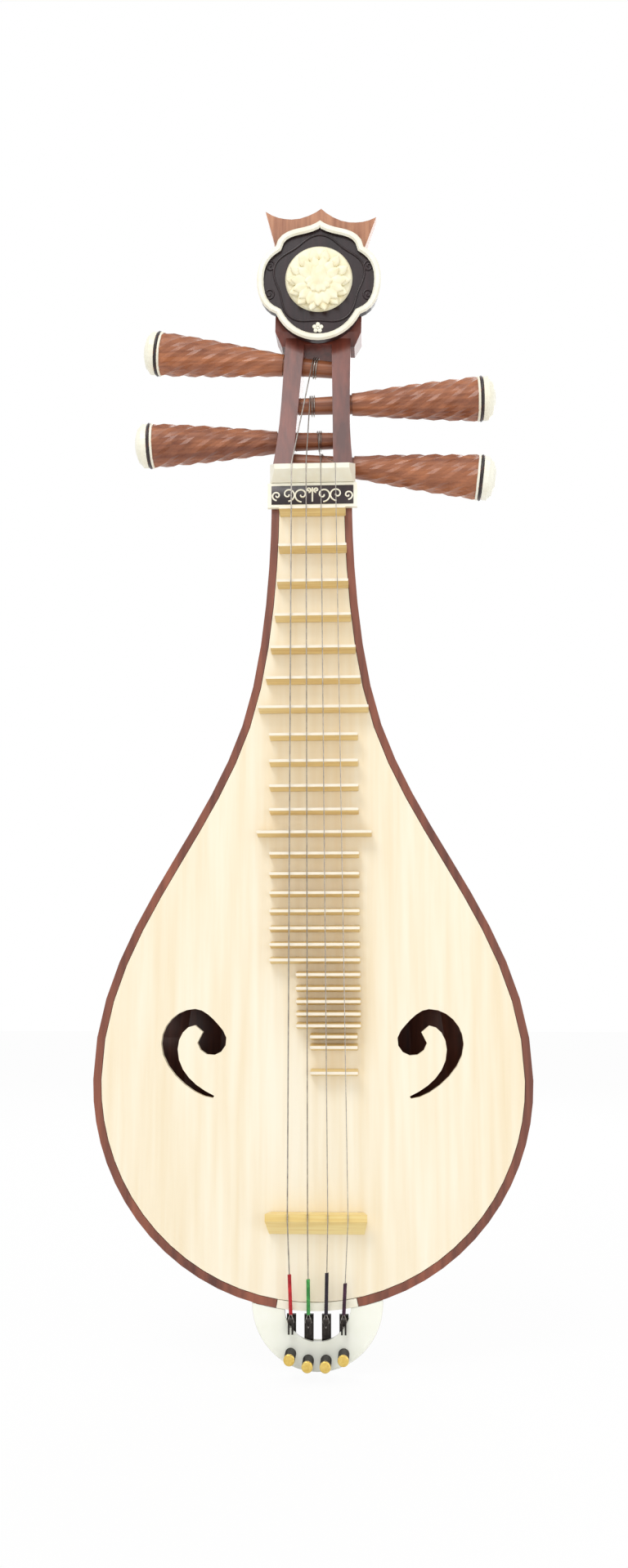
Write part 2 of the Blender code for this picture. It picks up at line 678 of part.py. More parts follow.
def make_nut_and_bridge():
    """The ivory nut, the plate below it, and the bridge on the soundboard."""
    foot = -PLATE_THICKNESS - 2 * GAP
    profile = [
        (-GAP, NUT_FRONT_Z + NUT_TOP_LENGTH + NUT_BASE_ABOVE),
        (-NUT_HEIGHT, NUT_FRONT_Z + NUT_TOP_LENGTH),
        (-NUT_HEIGHT, NUT_FRONT_Z),
        (foot, NUT_FRONT_Z - NUT_BASE_BELOW),
        (-GAP, NUT_FRONT_Z - NUT_BASE_BELOW),
    ]
    tapered_block(
        "nut", profile, NUT_HALF_WIDTH, NUT_TOP_HALF_WIDTH, NUT_HEIGHT, LINE_X_AT_NUT, BONE
    )
    top = NUT_FRONT_Z - NUT_BASE_BELOW - GAP
    low = top - PLATE_LENGTH
    profile = [(-GAP, top), (-PLATE_THICKNESS, top), (-PLATE_THICKNESS, low), (-GAP, low)]
    half = PLATE_HALF_WIDTH
    tapered_block("nut_plate", profile, half, half, PLATE_THICKNESS, LINE_X_AT_NUT, BONE)
    back = BRIDGE_Z + BRIDGE_TOP_LENGTH * 0.7
    front = back - BRIDGE_TOP_LENGTH
    profile = [
        (-GAP, back - 0.0006),
        (-BRIDGE_HEIGHT, back),
        (-BRIDGE_HEIGHT, front),
        (-GAP - 0.001, front - BRIDGE_SLOPE_LENGTH),
        (-GAP, front - BRIDGE_SLOPE_LENGTH),
    ]
    wide = BRIDGE_HALF_WIDTH + BRIDGE_HORN
    centre = playing_line(BRIDGE_Z)
    tapered_block("bridge", profile, BRIDGE_HALF_WIDTH, wide, BRIDGE_HEIGHT, centre, BAMBOO)


def fret_z(number):
    """The height of a fret's sounding edge."""
    step = LAST_FRET_STEP if number == FRET_COUNT else number
    return NUT_FRONT_Z - FRET_SCALE * (1 - 2 ** (-step / 12))


def string_y(z, radius):
    """The y of a string's axis between the nut and the bridge."""
    at_nut = NUT_HEIGHT + STRING_SEAT_GAP + radius
    at_bridge = BRIDGE_HEIGHT + STRING_SEAT_GAP + radius
    share = (NUT_FRONT_Z - z) / STRING_LENGTH
    return -(at_nut + (at_bridge - at_nut) * share)


def fret_span(number):
    """The left and right ends of a fret."""
    centre = playing_line(fret_z(number))
    if number <= len(NECK_FRET_HALF_WIDTHS):
        half = NECK_FRET_HALF_WIDTHS[number - 1]
        return centre - half, centre + half
    if number == OCTAVE_FRET:
        return centre - OCTAVE_FRET_HALF_WIDTH, centre + OCTAVE_FRET_HALF_WIDTH
    right = centre + BOARD_FRET_HALF_WIDTH
    if number >= SHORTEST_FRET_START:
        right -= SHORTEST_FRET_INSET
        return right - SHORTEST_FRET_LENGTH, right
    if number >= SHORT_FRET_START:
        return right - SHORT_FRET_LENGTH, right
    return centre - BOARD_FRET_HALF_WIDTH, right


def make_frets():
    """Bamboo frets, each a long wedge with a flat top and rounded ends."""
    for number in range(1, FRET_COUNT + 1):
        z = fret_z(number)
        left, right = fret_span(number)
        share = (number - 1) / (FRET_COUNT - 1)
        clearance = FRET_CLEARANCE_FIRST
        clearance += (FRET_CLEARANCE_LAST - FRET_CLEARANCE_FIRST) * share
        top = string_y(z, STRING_RADII[0]) + STRING_RADII[0] + clearance
        middle = z + FRET_TOP_LENGTH / 2
        form = bmesh.new()
        bmesh.ops.create_cube(form, size=1)
        for vert in form.verts:
            at_top = vert.co.y < 0
            length = FRET_TOP_LENGTH if at_top else FRET_BASE_LENGTH
            vert.co.z = middle + vert.co.z * length
            vert.co.x = left if vert.co.x < 0 else right
            vert.co.y = top if at_top else -GAP
        corners = [e for e in form.edges if abs(e.verts[0].co.y - e.verts[1].co.y) > -top / 2]
        bmesh.ops.bevel(
            form,
            geom=corners,
            offset=FRET_CORNER * FRET_TOP_LENGTH / FRET_BASE_LENGTH,
            offset_type="OFFSET",
            segments=2,
            profile=0.5,
            affect="EDGES",
            material=-1,
        )
        mesh_object(f"fret_{number:02d}", form, BAMBOO)


# Headstock


def head_point(x, up, back):
    """A world point from a place in the leaning head: across, up its face, and into it."""
    return HEAD_START + HEAD_SIDE * x + HEAD_UP * up + HEAD_BACK * back


# A plate drawn on the leaning head's face, and one drawn on the ornament's plane
HEAD_PLACE = Matrix.Translation(HEAD_START) @ HEAD_SPIN.to_4x4() @ FACING
ORNAMENT_FOOT = head_point(0, ORNAMENT_LENGTH_UP, 0)
ORNAMENT_SPIN = Matrix.Rotation(HEAD_SIDE_LEAN, 3, "Y") @ Matrix.Rotation(-ORNAMENT_TILT, 3, "X")
ORNAMENT_PLACE = Matrix.Translation(ORNAMENT_FOOT) @ ORNAMENT_SPIN.to_4x4() @ FACING


def pegbox_half(up):
    """The pegbox's half width: it draws in quickly above the nut and then runs nearly straight."""
    if up < PEGBOX_MIDDLE:
        share = 1 - up / PEGBOX_MIDDLE
        return PEGBOX_HALF_MIDDLE + (PEGBOX_HALF_FOOT - PEGBOX_HALF_MIDDLE) * share**1.7
    share = (up - PEGBOX_MIDDLE) / (PEGBOX_LENGTH - PEGBOX_MIDDLE)
    return PEGBOX_HALF_MIDDLE + (PEGBOX_HALF_TOP - PEGBOX_HALF_MIDDLE) * share


def pegbox_depth(up):
    """The pegbox's depth at a place up its face."""
    return PEGBOX_DEPTH_FOOT + (PEGBOX_DEPTH_TOP - PEGBOX_DEPTH_FOOT) * up / PEGBOX_LENGTH


def slot_half(up):
    """The slot's half width."""
    share = (up - SLOT_FOOT) / (SLOT_TOP - SLOT_FOOT)
    return SLOT_HALF_FOOT + (SLOT_HALF_TOP - SLOT_HALF_FOOT) * share


def make_headstock():
    """Pegbox, head block and crown, carved as one, with the slot and the peg holes."""
    low = NECK_END_Z + GAP
    stations = [0.0, 0.008, 0.018, 0.031, PEGBOX_MIDDLE, PEGBOX_LENGTH]
    rings = []
    half = NECK_HALF_WIDTH
    rings.append(
        [(-half, 0, low), (half, 0, low)]
        + [(x, y, low) for x, y, _ in back_section(half, NECK_DEPTH, low, 0)[1:-1]]
    )
    for up in stations:
        half = pegbox_half(up)
        depth = pegbox_depth(up)
        squareness = min(1.0, up / PEGBOX_MIDDLE)
        ring = [head_point(-half, up, 0), head_point(half, up, 0)]
        for x, y, _ in back_section(1, 1, 0, 0)[1:-1]:
            square_x = max(-1.0, min(1.0, x * 1.6))
            square_y = min(1.0, y * 1.25)
            x += (square_x - x) * squareness
            y += (square_y - y) * squareness
            ring.append(head_point(x * half, up, y * depth))
        rings.append([tuple(point) for point in ring])
    head = loft("headstock", rings, ROSEWOOD)
    combine(head, make_head_block(), "UNION")

    slot = []
    reach = PEGBOX_DEPTH_FOOT + CUT_MARGIN
    for up in (SLOT_FOOT, SLOT_TOP):
        slot.append((slot_half(up), up))
    outline = slot + [(-x, up) for x, up in reversed(slot)]
    hollow = plate("slot", outline, -reach, reach * 2, HEAD_PLACE, None, "cutters")
    combine(head, hollow, "DIFFERENCE")
    for index in range(len(PEG_UPS)):
        combine(head, peg_hole(index), "DIFFERENCE")
    return head


def crown_outline():
    """The block and crown in the ornament's plane: a block whose top flares to three points."""
    side = []
    side.append((BLOCK_HALF_WIDTH, BLOCK_CHAMFER))
    side.append((BLOCK_HALF_WIDTH, CROWN_FOOT_HEIGHT * 0.7))
    side.append((CROWN_FOOT_HALF_WIDTH, CROWN_FOOT_HEIGHT))
    tip = (CROWN_HALF_WIDTH, CROWN_TIP_HEIGHT)
    dip = (CROWN_HALF_WIDTH * CROWN_DIP_SHARE, CROWN_DIP_HEIGHT)
    apex = (0, CROWN_APEX_HEIGHT)
    side.append(tip)
    pull = 0.006
    side += curve_points(
        tip, (tip[0] - pull, tip[1] - pull * 0.6), (dip[0] + pull, dip[1]), dip, 4
    )
    side += curve_points(
        dip, (dip[0] - pull, dip[1]), (apex[0] + pull * 0.5, apex[1] - pull * 0.5), apex, 4
    )
    middle = (0, CROWN_TIP_HEIGHT)
    turned_side = []
    for sign, points in ((1, side), (-1, side[-2::-1])):
        for x, up in points:
            spin = CROWN_TURN if up > CROWN_FOOT_HEIGHT else 0.0
            shift_x = x * sign - middle[0]
            shift_up = up - middle[1]
            turned_side.append(
                (
                    middle[0] + shift_x * cos(spin) - shift_up * sin(spin),
                    middle[1] + shift_x * sin(spin) + shift_up * cos(spin),
                )
            )
    low = BLOCK_CHAMFER
    ends = [(-BLOCK_HALF_WIDTH + low / 2, 0.0), (BLOCK_HALF_WIDTH - low / 2, 0.0)]
    return ends + turned_side


def make_head_block():
    """The block behind the ornament, cut by its side profile, with the crown on top."""
    block = plate("head_block", crown_outline(), 0, 0.050, ORNAMENT_PLACE, None, "cutters")
    top = CROWN_APEX_HEIGHT + CUT_MARGIN
    low = -CUT_MARGIN
    profile = [
        (0.0, BLOCK_CHAMFER),
        (BLOCK_CHAMFER * 0.5, low),
        (BLOCK_DEPTH, low),
        (BLOCK_DEPTH + 0.004, 0.012),
        (BLOCK_DEPTH + 0.003, 0.030),
        (BLOCK_DEPTH - 0.004, 0.052),
        (CROWN_DEPTH + 0.001, CROWN_FOOT_HEIGHT + 0.012),
        (CROWN_DEPTH, top),
        (-0.001, top),
        (-0.001, BLOCK_CHAMFER),
    ]
    place = Matrix.Translation(ORNAMENT_FOOT) @ ORNAMENT_SPIN.to_4x4() @ SIDEWAYS
    keep = plate("head_profile", profile, -0.06, 0.06, place, None, "cutters")
    return combine(block, keep, "INTERSECT")


def ornament_half():
    """Right half of the ruyi outline from its foot to its apex, as (x, up)."""
    points = []
    notch = (NOTCH_HALF_WIDTH, NOTCH_HEIGHT)
    end = acos((LOBE_RADIUS - notch[1]) / LOBE_RADIUS)
    for i in range(9):
        angle = end * i / 8
        points.append((LOBE_RADIUS * sin(angle), LOBE_RADIUS * (1 - cos(angle))))
    side = (SIDE_LOBE_HALF_WIDTH, SIDE_LOBE_HEIGHT)
    shoulder = (SHOULDER_HALF_WIDTH, SHOULDER_HEIGHT)
    ogee = (OGEE_HALF_WIDTH, OGEE_HEIGHT)
    apex = (0.0, APEX_HEIGHT)
    start = points[-1]
    points += curve_points(
        start, (start[0] + 0.0085, start[1] + 0.003), (side[0], side[1] - 0.011), side, 6
    )
    points += curve_points(
        side, (side[0], side[1] + 0.010), (shoulder[0] + 0.006, shoulder[1] - 0.003), shoulder, 6
    )
    points += curve_points(
        shoulder, (shoulder[0] - 0.001, shoulder[1] + 0.008), (ogee[0] + 0.005, ogee[1] - 0.001),
        ogee, 5
    )
    points += curve_points(
        ogee, (ogee[0] - 0.005, ogee[1] + 0.001), (apex[0] + 0.003, apex[1] - 0.0025), apex, 4
    )
    return points


def ornament_outline(distance):
    """The whole ruyi outline, moved inwards by a distance."""
    half = ornament_half()
    whole = half + [(-x, up) for x, up in half[-2:0:-1]]
    count = len(whole)
    moved = []
    for i in range(count):
        before = Vector(whole[i - 1])
        after = Vector(whole[(i + 1) % count])
        along = (after - before).normalized()
        x, up = whole[i]
        moved.append((x - along.y * distance, up + along.x * distance))
    return moved


def make_ornament():
    """The ebony plate, the bone rim round it and the lotus medallion in its middle."""
    back = -GAP
    front = back - HEAD_PLATE_THICKNESS
    edge = ornament_outline(RIM_TUBE_RADIUS * 0.35)
    plate("head_plate", edge, front, back, ORNAMENT_PLACE, EBONY)
    rim_height = RIM_TUBE_RADIUS * RIM_FLATNESS
    path = [(x, up, 0) for x, up in ornament_outline(RIM_TUBE_RADIUS)]
    rim = tube("head_rim", path, RIM_TUBE_RADIUS, None, 1, True)
    lift = front - GAP - rim_height
    squash = Matrix.Diagonal((1, 1, RIM_FLATNESS, 1))
    rim.matrix_world = ORNAMENT_PLACE @ Matrix.Translation((0, 0, lift)) @ squash
    mesh_from_curve(rim, BONE)
    high = LOTUS_DISC + LOTUS_RELIEF
    profile = [
        (0.0, high),
        (LOTUS_RADIUS * 0.30, high * 0.97),
        (LOTUS_RADIUS * 0.56, high * 0.86),
        (LOTUS_RADIUS * 0.78, high * 0.62),
        (LOTUS_RADIUS * 0.90, LOTUS_DISC),
        (LOTUS_RADIUS, LOTUS_DISC * 0.8),
        (LOTUS_RADIUS, 0.0),
        (0.0, 0.0),
    ]
    seat = Matrix.Translation((0, LOTUS_HEIGHT_UP, front - GAP)) @ Matrix.Rotation(pi, 4, "X")
    turned("lotus_medallion", profile, 28, BONE, ORNAMENT_PLACE @ seat)


# Pegs


def peg_frame(index):
    """A peg's frame: origin where its axis crosses the slot's middle, Z along it to the handle."""
    up = PEG_UPS[index]
    fan = PEG_FANS[index]
    along = HEAD_SIDE * PEG_SIDES[index] * cos(fan) + HEAD_UP * sin(fan)
    front = -HEAD_BACK
    across = front.cross(along)
    centre = head_point(0, up, pegbox_depth(up) * PEG_DEPTH_SHARE)
    turn = Matrix((across, front, along)).transposed().to_4x4()
    return Matrix.Translation(centre) @ turn


def shaft_radius(along):
    """The tapered shaft's radius at a distance from the slot's middle."""
    share = (along + SLOT_HALF_FOOT + PEG_BLIND) / (SLOT_HALF_FOOT + PEG_BLIND + PEGBOX_HALF_FOOT)
    return PEG_END_RADIUS + (PEG_WALL_RADIUS - PEG_END_RADIUS) * share


def shaft_start(index):
    """How far past the slot's middle the shaft reaches into the far wall."""
    return -slot_half(PEG_UPS[index]) - PEG_BLIND


def shoulder_place(index):
    """Where the handle begins, just outside the near wall."""
    return pegbox_half(PEG_UPS[index]) + PEG_SHOULDER_GAP


def peg_hole(index):
    """A cutter for the peg's hole: through the near wall and blind in the far one."""
    near = PEGBOX_HALF_FOOT + PEG_SHOULDER_GAP * 3
    far = shaft_start(index) - GAP
    frame = peg_frame(index)
    rings = []
    for along in (far, near):
        radius = shaft_radius(along) + PEG_HOLE_GAP
        rings.append([frame @ Vector(circle_point(radius, i, 24, along)) for i in range(24)])
    rings = [[tuple(point) for point in ring] for ring in rings]
    return loft("peg_hole", rings, None, "cutters")


def circle_point(radius, i, count, along):
    """A point on a circle about Z."""
    angle = 2 * pi * i / count
    return (radius * cos(angle), radius * sin(angle), along)


def handle_radius(share):
    """The handle's outer radius from its neck to its big end."""
    swell = PEG_NECK_RADIUS + (PEG_BIG_RADIUS - PEG_NECK_RADIUS) * share
    return swell + 0.0006 * sin(pi * share)


def fluted_ring(frame, radius, groove, twist, along, count):
    """A ring whose radius dips into a groove between each pair of ridges."""
    ring = []
    for i in range(count):
        angle = 2 * pi * i / count
        dip = groove * (0.5 - 0.5 * cos(PEG_FLUTES * angle))
        size = radius - dip
        ring.append(tuple(frame @ Vector((size * cos(angle - twist), size * sin(angle - twist), along))))
    return ring


def make_pegs():
    """Four pegs, each a tapered shaft and a twisted fluted handle, and their bone end caps."""
    count = PEG_FLUTES * POINTS_PER_FLUTE
    for index, name in enumerate(PEG_NAMES):
        frame = peg_frame(index)
        start = shaft_start(index)
        shoulder = shoulder_place(index)
        rings = []
        for along in (start, shoulder):
            rings.append(fluted_ring(frame, shaft_radius(along), 0, 0, along, count))
        length = PEG_REACH - shoulder
        for i in range(PEG_RINGS + 1):
            share = i / PEG_RINGS
            along = shoulder + length * share
            groove = FLUTE_DEPTH * min(1.0, length * share / FLUTE_FADE)
            twist = 2 * pi * PEG_TWIST_TURNS * share
            rings.append(fluted_ring(frame, handle_radius(share), groove, twist, along, count))
        peg = loft(f"peg_{name}", rings, PEGWOOD)
        put_origin(peg, frame.translation)

        profile = [
            (0.0, CAP_RING_LENGTH + CAP_DOME),
            (CAP_RADIUS * 0.45, CAP_RING_LENGTH + CAP_DOME * 0.88),
            (CAP_RADIUS * 0.78, CAP_RING_LENGTH + CAP_DOME * 0.52),
            (CAP_RADIUS * 0.94, CAP_RING_LENGTH),
            (CAP_RADIUS, CAP_RING_LENGTH * 0.9),
            (CAP_RADIUS, 0.0),
            (0.0, 0.0),
        ]
        seat = frame @ Matrix.Translation((0, 0, PEG_REACH + GAP))
        turned(f"peg_cap_{name}", profile, 24, BONE, seat)


# Tailpiece and fine tuners


def tuner_x(index):
    """The x of a fine tuner."""
    return TAIL_X + (index - 1.5) * TUNER_SPACING


def screw_z(index):
    """The height of a tuner's screw, on a circle that follows the plate's edge."""
    across = tuner_x(index) - TAIL_X
    return TAILPIECE_Z - (SCREW_CIRCLE**2 - across**2) ** 0.5


def make_tailpiece(outline):
    """The half-moon plate with its arch, the pocket behind and the pin that the levers turn on."""
    front = GAP
    back = GAP + TAILPIECE_THICKNESS
    form = bmesh.new()
    place = Matrix.Translation((TAIL_X, (front + back) / 2, TAILPIECE_Z))
    bmesh.ops.create_cone(
        form,
        cap_ends=True,
        segments=56,
        radius1=TAILPIECE_RADIUS,
        radius2=TAILPIECE_RADIUS,
        depth=back - front,
        matrix=place @ Matrix.Rotation(pi / 2, 4, "X"),
    )
    rims = [e for e in form.edges if abs(e.verts[0].co.y - e.verts[1].co.y) < 1e-6]
    bmesh.ops.bevel(
        form,
        geom=rims,
        offset=TAILPIECE_EDGE,
        offset_type="OFFSET",
        segments=2,
        profile=0.5,
        affect="EDGES",
        material=-1,
    )
    piece = mesh_object("tailpiece", form, PLASTIC)
    low, high = -CUT_MARGIN, back + CUT_MARGIN
    body = closed(inset(outline, -GAP), DEPTH_START_Z)
    combine(piece, plate("body_side", body, low, high, FACING, None, "cutters"), "DIFFERENCE")

    steps = 20
    arch = []
    for i in range(steps + 1):
        angle = pi * i / steps
        arch.append((TAIL_X - ARCH_RADIUS * cos(angle), ARCH_Z - ARCH_RADIUS * sin(angle)))
    above = BOUT_CENTRE_Z - BOUT_RADIUS * 0.9
    arch += [(TAIL_X + ARCH_RADIUS, above), (TAIL_X - ARCH_RADIUS, above)]
    combine(piece, plate("arch", arch, low, high, FACING, None, "cutters"), "DIFFERENCE")

    pocket = []
    limit = acos(POCKET_HALF_WIDTH / POCKET_RADIUS)
    for i in range(steps + 1):
        angle = limit + (pi - 2 * limit) * i / steps
        x = TAIL_X - POCKET_RADIUS * cos(angle)
        pocket.append((x, TAILPIECE_Z - POCKET_RADIUS * sin(angle)))
    pocket += [(TAIL_X + POCKET_HALF_WIDTH, above), (TAIL_X - POCKET_HALF_WIDTH, above)]
    skin = front + SKIN_THICKNESS
    combine(piece, plate("pocket", pocket, skin, high, FACING, None, "cutters"), "DIFFERENCE")

    holes = bmesh.new()
    for index in range(len(PEG_NAMES)):
        place = Matrix.Translation((tuner_x(index), (low + high) / 2, screw_z(index)))
        bmesh.ops.create_cone(
            holes,
            cap_ends=True,
            segments=16,
            radius1=SCREW_RADIUS + SCREW_HOLE_GAP,
            radius2=SCREW_RADIUS + SCREW_HOLE_GAP,
            depth=high - low,
            matrix=place @ Matrix.Rotation(pi / 2, 4, "X"),
        )
    combine(piece, mesh_object("screw_holes", holes, None, "cutters"), "DIFFERENCE")
    reach = POCKET_HALF_WIDTH + CUT_MARGIN
    pin = cylinder(
        "lever_pin",
        (TAIL_X - reach, lever_middle(), PIN_Z),
        (TAIL_X + reach, lever_middle(), PIN_Z),
        PIN_RADIUS,
        12,
        None,
        "cutters",
    )
    combine(piece, pin, "UNION")


def lever_front():
    """The y of a lever's front face, behind the tailpiece's skin."""
    return GAP + SKIN_THICKNESS + LEVER_FRONT_GAP


def lever_middle():
    """The y of the pin through the levers."""
    return lever_front() + LEVER_THICKNESS / 2


def make_tuners():
    """Four screws with knurled knobs, and the four hooked levers that they push."""
    for index in range(len(PEG_NAMES)):
        x = tuner_x(index)
        z = screw_z(index)
        front = lever_front()
        back = front + LEVER_THICKNESS
        tail = z - LEVER_TAIL_PAST_SCREW
        bar = [(front, LEVER_TOP_Z), (back, LEVER_TOP_Z), (back, tail), (front, tail)]
        place = Matrix.Translation((x, 0, 0)) @ SIDEWAYS
        half = LEVER_HALF_WIDTH
        lever = plate(f"tuner_lever_{index + 1}", bar, -half, half, place, BLACK_METAL)
        high = LEVER_TOP_Z - HOOK_TOP_DROP
        low = high - HOOK_THICKNESS
        tip = -HOOK_REACH
        hook = [
            (front + LEVER_THICKNESS / 2, high),
            (tip + 0.0008, high),
            (tip, high - 0.0008),
            (tip, high - HOOK_LIP_LENGTH),
            (tip + HOOK_LIP_THICKNESS, high - HOOK_LIP_LENGTH),
            (tip + HOOK_LIP_THICKNESS, low),
            (front + LEVER_THICKNESS / 2, low),
        ]
        half = HOOK_HALF_WIDTH
        claw = plate("hook", hook, -half, half, place, None, "cutters")
        combine(lever, claw, "UNION")
        half = FORK_HALF_WIDTH
        gap = [
            (tip - CUT_MARGIN, low),
            (tip - CUT_MARGIN, high - HOOK_LIP_LENGTH - CUT_MARGIN),
            (tip + HOOK_LIP_THICKNESS + CUT_MARGIN / 2, high - HOOK_LIP_LENGTH - CUT_MARGIN),
            (tip + HOOK_LIP_THICKNESS + CUT_MARGIN / 2, low),
        ]
        fork = plate("fork", gap, -half, half, place, None, "cutters")
        combine(lever, fork, "DIFFERENCE")
        hole = cylinder(
            "pin_hole",
            (x - CUT_MARGIN * 2, lever_middle(), PIN_Z),
            (x + CUT_MARGIN * 2, lever_middle(), PIN_Z),
            PIN_RADIUS + PIN_GAP,
            12,
            None,
            "cutters",
        )
        combine(lever, hole, "DIFFERENCE")
        put_origin(lever, (x, lever_middle(), PIN_Z))

        knob_back = -KNOB_LIFT
        knob_front = -KNOB_LIFT - KNOB_LENGTH
        profile = [
            (0.0, -knob_front),
            (KNOB_RADIUS - KNOB_CAP_EDGE, -knob_front),
            (KNOB_RADIUS, -knob_front - KNOB_CAP_EDGE),
            (KNOB_RADIUS, -knob_back + KNOB_CAP_EDGE),
            (KNOB_RADIUS - KNOB_CAP_EDGE, -knob_back),
            (SCREW_RADIUS, -knob_back),
            (SCREW_RADIUS, -(front - GAP)),
            (0.0, -(front - GAP)),
        ]
        seat = Matrix.Translation((x, 0, z)) @ Matrix.Rotation(pi / 2, 4, "X")
        turned(f"tuner_screw_{index + 1}", profile, 20, GOLD, seat)


# Strings


def string_x(index, z):
    """The x of a string at height z, as the strings spread from the nut to the bridge."""
    if z > BRIDGE_Z:
        share = (NUT_FRONT_Z - z) / STRING_LENGTH
        spacing = STRING_SPACING_NUT + (STRING_SPACING_BRIDGE - STRING_SPACING_NUT) * share
    else:
        share = (BRIDGE_Z - z) / (BRIDGE_Z - STRING_END_Z)
        spacing = STRING_SPACING_BRIDGE + (STRING_TAIL_SPACING - STRING_SPACING_BRIDGE) * share
    shift = STRING_BAND_SHIFT * (1 if z > BRIDGE_Z else 1 - share)
    return playing_line(z) + shift + (index - 1.5) * spacing


def string_path(index):
    """From the tail over the inlay, the bridge and the nut, and round the peg's shaft."""
    radius = STRING_RADII[index]
    points = []
    lift = -(STRING_TAIL_LIFT + radius)
    edge_z = BOUT_CENTRE_Z - BOUT_RADIUS + RIM_WIDTH / 2
    for z, y in ((STRING_END_Z, lift), (edge_z, lift - 0.0005)):
        points.append(Vector((string_x(index, z), y, z)))
    bridge_y = string_y(BRIDGE_Z, radius)
    front = BRIDGE_Z - BRIDGE_TOP_LENGTH * 0.3
    back = BRIDGE_Z + BRIDGE_TOP_LENGTH * 0.7
    points.append(Vector((string_x(index, front), bridge_y - 0.0001, front)))
    points.append(Vector((string_x(index, back), bridge_y - 0.0001, back)))
    for share in (0.75, 0.5, 0.25):
        z = NUT_FRONT_Z + (BRIDGE_Z - NUT_FRONT_Z) * share
        points.append(Vector((string_x(index, z), string_y(z, radius), z)))
    top = NUT_FRONT_Z + NUT_TOP_LENGTH
    nut_y = string_y(NUT_FRONT_Z, radius)
    points.append(Vector((string_x(index, NUT_FRONT_Z), nut_y - 0.0001, NUT_FRONT_Z)))
    points.append(Vector((string_x(index, top), nut_y - 0.0001, top)))
    return points + winding(index, points[-1])


def winding(index, start):
    """The turns round the shaft, begun where the string touches it on its front side."""
    radius = STRING_RADII[index]
    frame = peg_frame(index)
    local = frame.inverted() @ start
    reach = slot_half(PEG_UPS[index])
    widest = shaft_radius(reach)
    round_radius = widest + WINDING_SEAT_GAP + radius
    distance = hypot(local.x, local.y)
    heading = atan2(local.y, local.x)
    swing = acos(round_radius / distance)
    side = PEG_SIDES[index]
    first = heading - swing * side
    turns = WINDING_TURNS[index]
    step = 2 * radius + WINDING_STEP_GAP
    count = ceil(turns * POINTS_PER_TURN)
    place = side * WINDING_PLACES[index]
    points = []
    for i in range(count + 1):
        share = i / POINTS_PER_TURN
        angle = first - 2 * pi * share * side
        along = place + side * step * share
        points.append(frame @ Vector((round_radius * cos(angle), round_radius * sin(angle), along)))
    return points


def least_gap(points, radius):
    """The least clear gap between turns that pass each other along one string."""
    least = None
    for i in range(len(points)):
        for j in range(i + POINTS_PER_TURN // 2, len(points)):
            gap = (points[i] - points[j]).length - 2 * radius
            least = gap if least is None else min(least, gap)
    return least


def make_strings():
    """Each string is one unbroken tube from the tail to its last turn on the peg."""
    for index in range(len(STRING_RADII)):
        points = string_path(index)
        radius = STRING_RADII[index]
        tube(f"string_{index + 1}", points, radius, STEEL, 1).data.materials.append(STEEL)
        turns = points[-ceil(WINDING_TURNS[index] * POINTS_PER_TURN):]
        print(f"string_{index + 1} least gap between turns {least_gap(turns, radius) * 1000:.2f} mm")


def main():
    """Builds the whole lute."""
    outline = make_body()
    make_nut_and_bridge()
    make_frets()
    make_headstock()
    make_ornament()
    make_pegs()
    make_tailpiece(outline)
    make_tuners()
    make_strings()


main()
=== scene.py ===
"""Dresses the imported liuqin: woods, bone, metal, carved trim, silk and the studio round it."""

import json
from math import cos, pi, radians, sin

import bmesh
import bpy
from mathutils import Matrix, Vector


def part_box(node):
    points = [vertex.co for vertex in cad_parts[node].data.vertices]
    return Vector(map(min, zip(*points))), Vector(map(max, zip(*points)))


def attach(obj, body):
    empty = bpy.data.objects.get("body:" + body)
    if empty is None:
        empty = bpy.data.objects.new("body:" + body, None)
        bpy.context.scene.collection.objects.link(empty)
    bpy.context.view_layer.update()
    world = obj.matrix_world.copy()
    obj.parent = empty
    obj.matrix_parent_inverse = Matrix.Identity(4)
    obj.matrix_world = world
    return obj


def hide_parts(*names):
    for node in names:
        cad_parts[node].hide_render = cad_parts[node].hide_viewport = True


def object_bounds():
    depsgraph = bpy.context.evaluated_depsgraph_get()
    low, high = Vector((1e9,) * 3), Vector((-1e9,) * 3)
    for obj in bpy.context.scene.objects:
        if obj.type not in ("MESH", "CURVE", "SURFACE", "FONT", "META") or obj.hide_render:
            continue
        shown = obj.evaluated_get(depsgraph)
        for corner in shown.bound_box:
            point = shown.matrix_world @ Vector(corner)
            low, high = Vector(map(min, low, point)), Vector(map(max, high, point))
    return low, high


bl_info = {
    "name": "Liuqin dressing",
    "version": (1, 0, 0),
    "blender": (4, 5, 0),
    "location": "3D View > Sidebar > Liuqin",
    "description": "Finishes and trim for a four-string pear-shaped lute",
    "category": "Object",
}

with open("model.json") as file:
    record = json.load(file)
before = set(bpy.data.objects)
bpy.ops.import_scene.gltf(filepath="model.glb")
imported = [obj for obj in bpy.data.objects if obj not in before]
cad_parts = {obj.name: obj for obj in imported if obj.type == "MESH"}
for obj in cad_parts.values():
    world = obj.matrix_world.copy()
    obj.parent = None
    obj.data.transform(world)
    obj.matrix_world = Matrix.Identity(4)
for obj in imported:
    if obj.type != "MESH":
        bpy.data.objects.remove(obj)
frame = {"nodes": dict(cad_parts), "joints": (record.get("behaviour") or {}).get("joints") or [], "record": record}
CAD_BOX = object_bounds()
LUTE = "lute"

# The camera that the photograph was taken with, in metres, degrees and millimetres of lens
CAMERA_PLACE = (0.035, -0.7289, -0.2729)
CAMERA_PITCH = 98.848
CAMERA_YAW = 2.650
CAMERA_LENS = 30.58
SENSOR_WIDTH = 36.0
CLIP_START = 0.01

